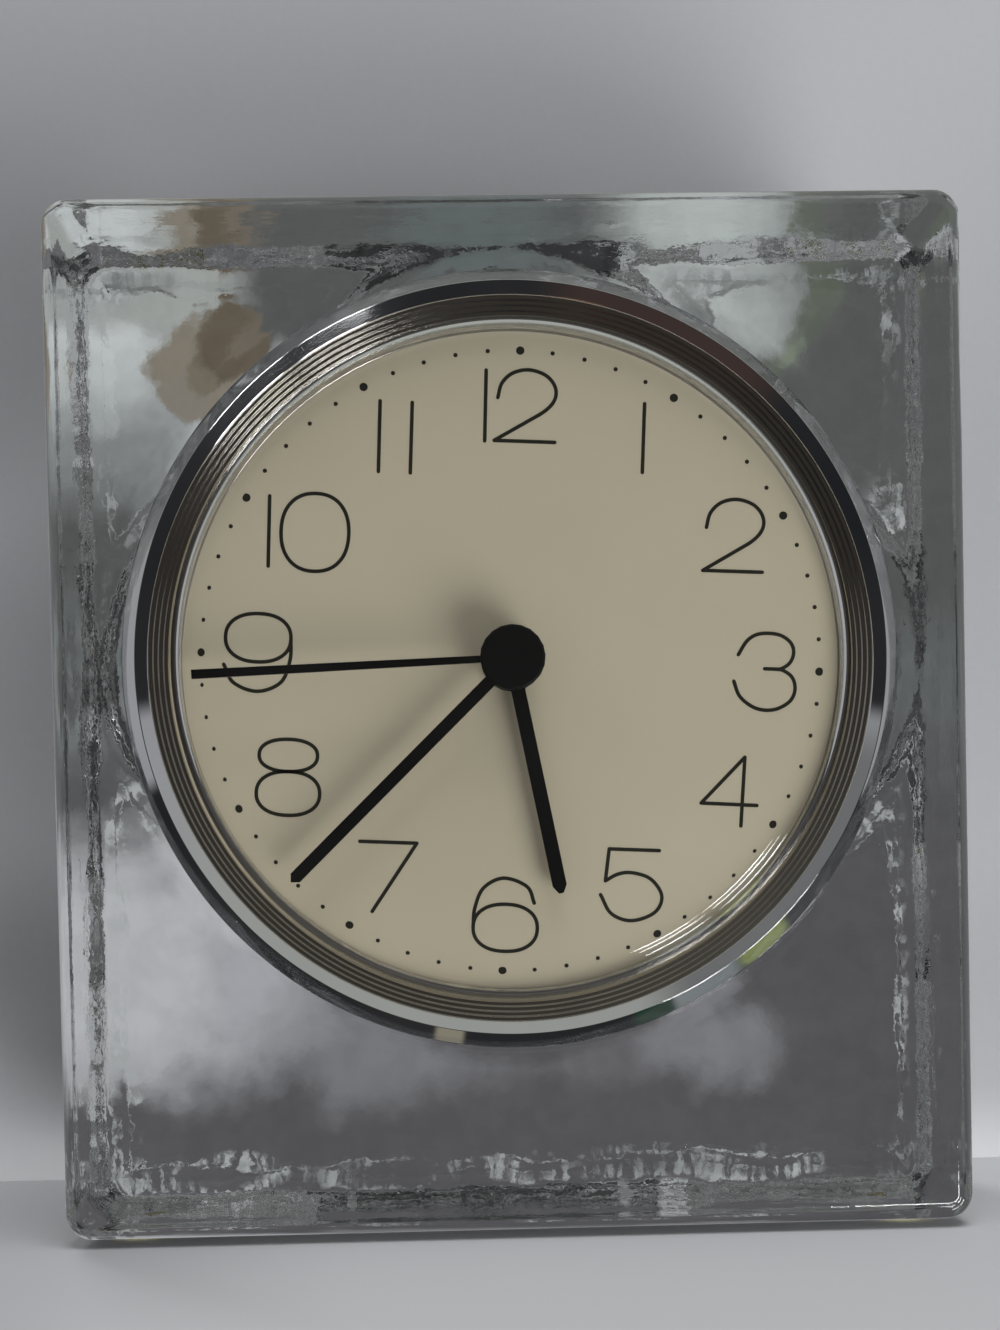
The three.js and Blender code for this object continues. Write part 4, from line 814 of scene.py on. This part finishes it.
printing_ink = moulded("printing_ink", (0.010, 0.010, 0.007), (0.014, 0.014, 0.009), 0.6, 2000, sheen=0.2)
numbers = joined("dial_numbers", strokes)
fitted(numbers, "root", "hand_black", printing_ink)
dot_circle, hour_dot, minute_dot, dot_sides = 36.2, 0.49, 0.255, 20
around = np.arange(dot_sides) / dot_sides * 2 * np.pi
ring = np.stack([np.cos(around), np.sin(around)], 1)
dots = []
for minute in range(60):
    angle = math.radians(6 * minute)
    radius = hour_dot if minute % 5 == 0 else minute_dot
    middle = np.array((dot_circle * math.sin(angle), dot_circle * math.cos(angle)))
    rings = [middle + ring * r for r in (0.0, radius * 0.9, radius, radius, 0.0)]
    depths = [dial_face - ink_height * share for share in (1, 1, 0.6, 0, 0)]
    points = [on_dial(r[:, 0], r[:, 1], depth) for r, depth in zip(rings, depths)]
    dots.append(surface("dot", np.stack(points), closed=False))
fitted(joined("dial_dots", dots), "root", "hand_black", printing_ink)

# Hands
# Strips stamped from thin steel, painted semi-matt black, pressed on the three tubes, with a cap over them.


def dressed(node, body, slot, material, bevel=0.06, steps=2):
    """A copy of a CAD piece with its corners welded and its edges rounded, in place of the CAD node."""
    sharp = math.radians(30)
    mesh = nodes[node].data.copy()
    mesh.name = node + "_finished"
    welded = bmesh.new()
    welded.from_mesh(mesh)
    bmesh.ops.remove_doubles(welded, verts=welded.verts, dist=1e-6)
    bmesh.ops.dissolve_limit(welded, angle_limit=math.radians(1), verts=welded.verts, edges=welded.edges)
    welded.to_mesh(mesh)
    welded.free()
    piece = bpy.data.objects.new(node + "_finished", mesh)
    scene.collection.objects.link(piece)
    mesh.shade_smooth()
    mesh.set_sharp_from_angle(angle=sharp)
    rounding = piece.modifiers.new("rounding", "BEVEL")
    rounding.width = bevel * MM
    rounding.segments = steps
    rounding.limit_method = "ANGLE"
    rounding.angle_limit = sharp
    rounding.harden_normals = True
    return fitted(piece, body, slot, material, node)


black_paint = moulded("semi_matt_black", (0.002, 0.0021, 0.0024), (0.004, 0.0042, 0.0046), 0.4, 1800, 0.00006, 0.2,
                      sheen=0.12)
dressed("hour_hand", "hours", "hand_black", black_paint)
dressed("minute_hand", "minutes", "hand_black", black_paint)
dressed("second_hand", "seconds", "hand_black", black_paint, 0.04)
dressed("hub_cap", "seconds", "hand_black", black_paint, 0.08, 3)

# Case, movement and the rest inside
# A black plastic case with a screwed cover and a clip-in door, held in the bore by a ribbed rubber band. In it a
# quartz movement: moulded frame and plates, nylon wheels, a stator with its coil and ferrite rotor, and a board.
case_black = moulded("case_black", (0.028, 0.028, 0.03), (0.036, 0.036, 0.038), 0.5, 900, 0.0002, 0.3)
movement_grey = moulded("movement_grey", (0.15, 0.155, 0.16), (0.18, 0.185, 0.19), 0.45, 800)
band_rubber = moulded("band_rubber", (0.03, 0.03, 0.03), (0.045, 0.045, 0.044), 0.85, 1400, 0.0003, 0.4)
white_nylon = moulded("white_nylon", (0.74, 0.72, 0.65), (0.8, 0.78, 0.72), 0.4, 700)
plated_steel = moulded("plated_steel", (0.6, 0.61, 0.62), (0.68, 0.68, 0.69), 0.28, 1500, 0.0001, 0.1, metallic=1.0)
lamination_steel = moulded("lamination_steel", (0.42, 0.43, 0.45), (0.5, 0.51, 0.53), 0.4, 900, 0.0001, 0.2,
                           metallic=1.0)
spring_brass = moulded("spring_brass", (0.72, 0.54, 0.25), (0.78, 0.6, 0.3), 0.28, 1200, 0.0001, 0.1, metallic=1.0)
enamelled_copper = moulded("enamelled_copper", (0.55, 0.24, 0.11), (0.62, 0.3, 0.15), 0.3, 2500, 0.0003, 0.5,
                           metallic=0.8)
ferrite = moulded("ferrite", (0.08, 0.08, 0.09), (0.11, 0.11, 0.12), 0.55, 1500)
board_green = moulded("board_green", (0.06, 0.2, 0.09), (0.1, 0.28, 0.13), 0.4, 1200)
chip_epoxy = moulded("chip_epoxy", (0.012, 0.012, 0.012), (0.02, 0.02, 0.02), 0.3, 600)
battery_sleeve = moulded("battery_sleeve", (0.05, 0.1, 0.26), (0.07, 0.13, 0.31), 0.25, 500)
inside = [
    (case_black, ["movement_frame"]),
    (movement_grey, ["middle_plate", "back_plate"]),
    (white_nylon, ["coil_bobbin", "intermediate_wheel", "seconds_wheel", "third_wheel", "centre_wheel",
                   "cannon_pinion", "minute_wheel", "hour_wheel", "setting_stem"]),
    (plated_steel, ["quartz_can", "plate_screw_1", "plate_screw_2", "plate_screw_3", "plate_screw_4"]),
    (lamination_steel, ["stator"]),
    (spring_brass, ["contact_positive", "contact_negative"]),
    (enamelled_copper, ["coil_winding"]),
    (ferrite, ["rotor"]),
    (board_green, ["circuit_board"]),
    (chip_epoxy, ["chip"]),
    (battery_sleeve, ["battery"]),
]
for material, names in inside:
    for name in names:
        nodes[name].data.materials.clear()
        nodes[name].data.materials.append(material)
dressed("case_cup", "root", "black_plastic", case_black, 0.12)
dressed("grip_band", "root", "black_rubber", band_rubber, 0.1)
dressed("rear_cover", "root", "black_plastic", case_black, 0.15)
dressed("battery_door", "door", "black_plastic", case_black, 0.15)
dressed("setting_knob", "setting", "grey_plastic", movement_grey, 0.1)
for k in range(1, 5):
    dressed(f"cover_screw_{k}", "root", "screw_steel", plated_steel, 0.06)
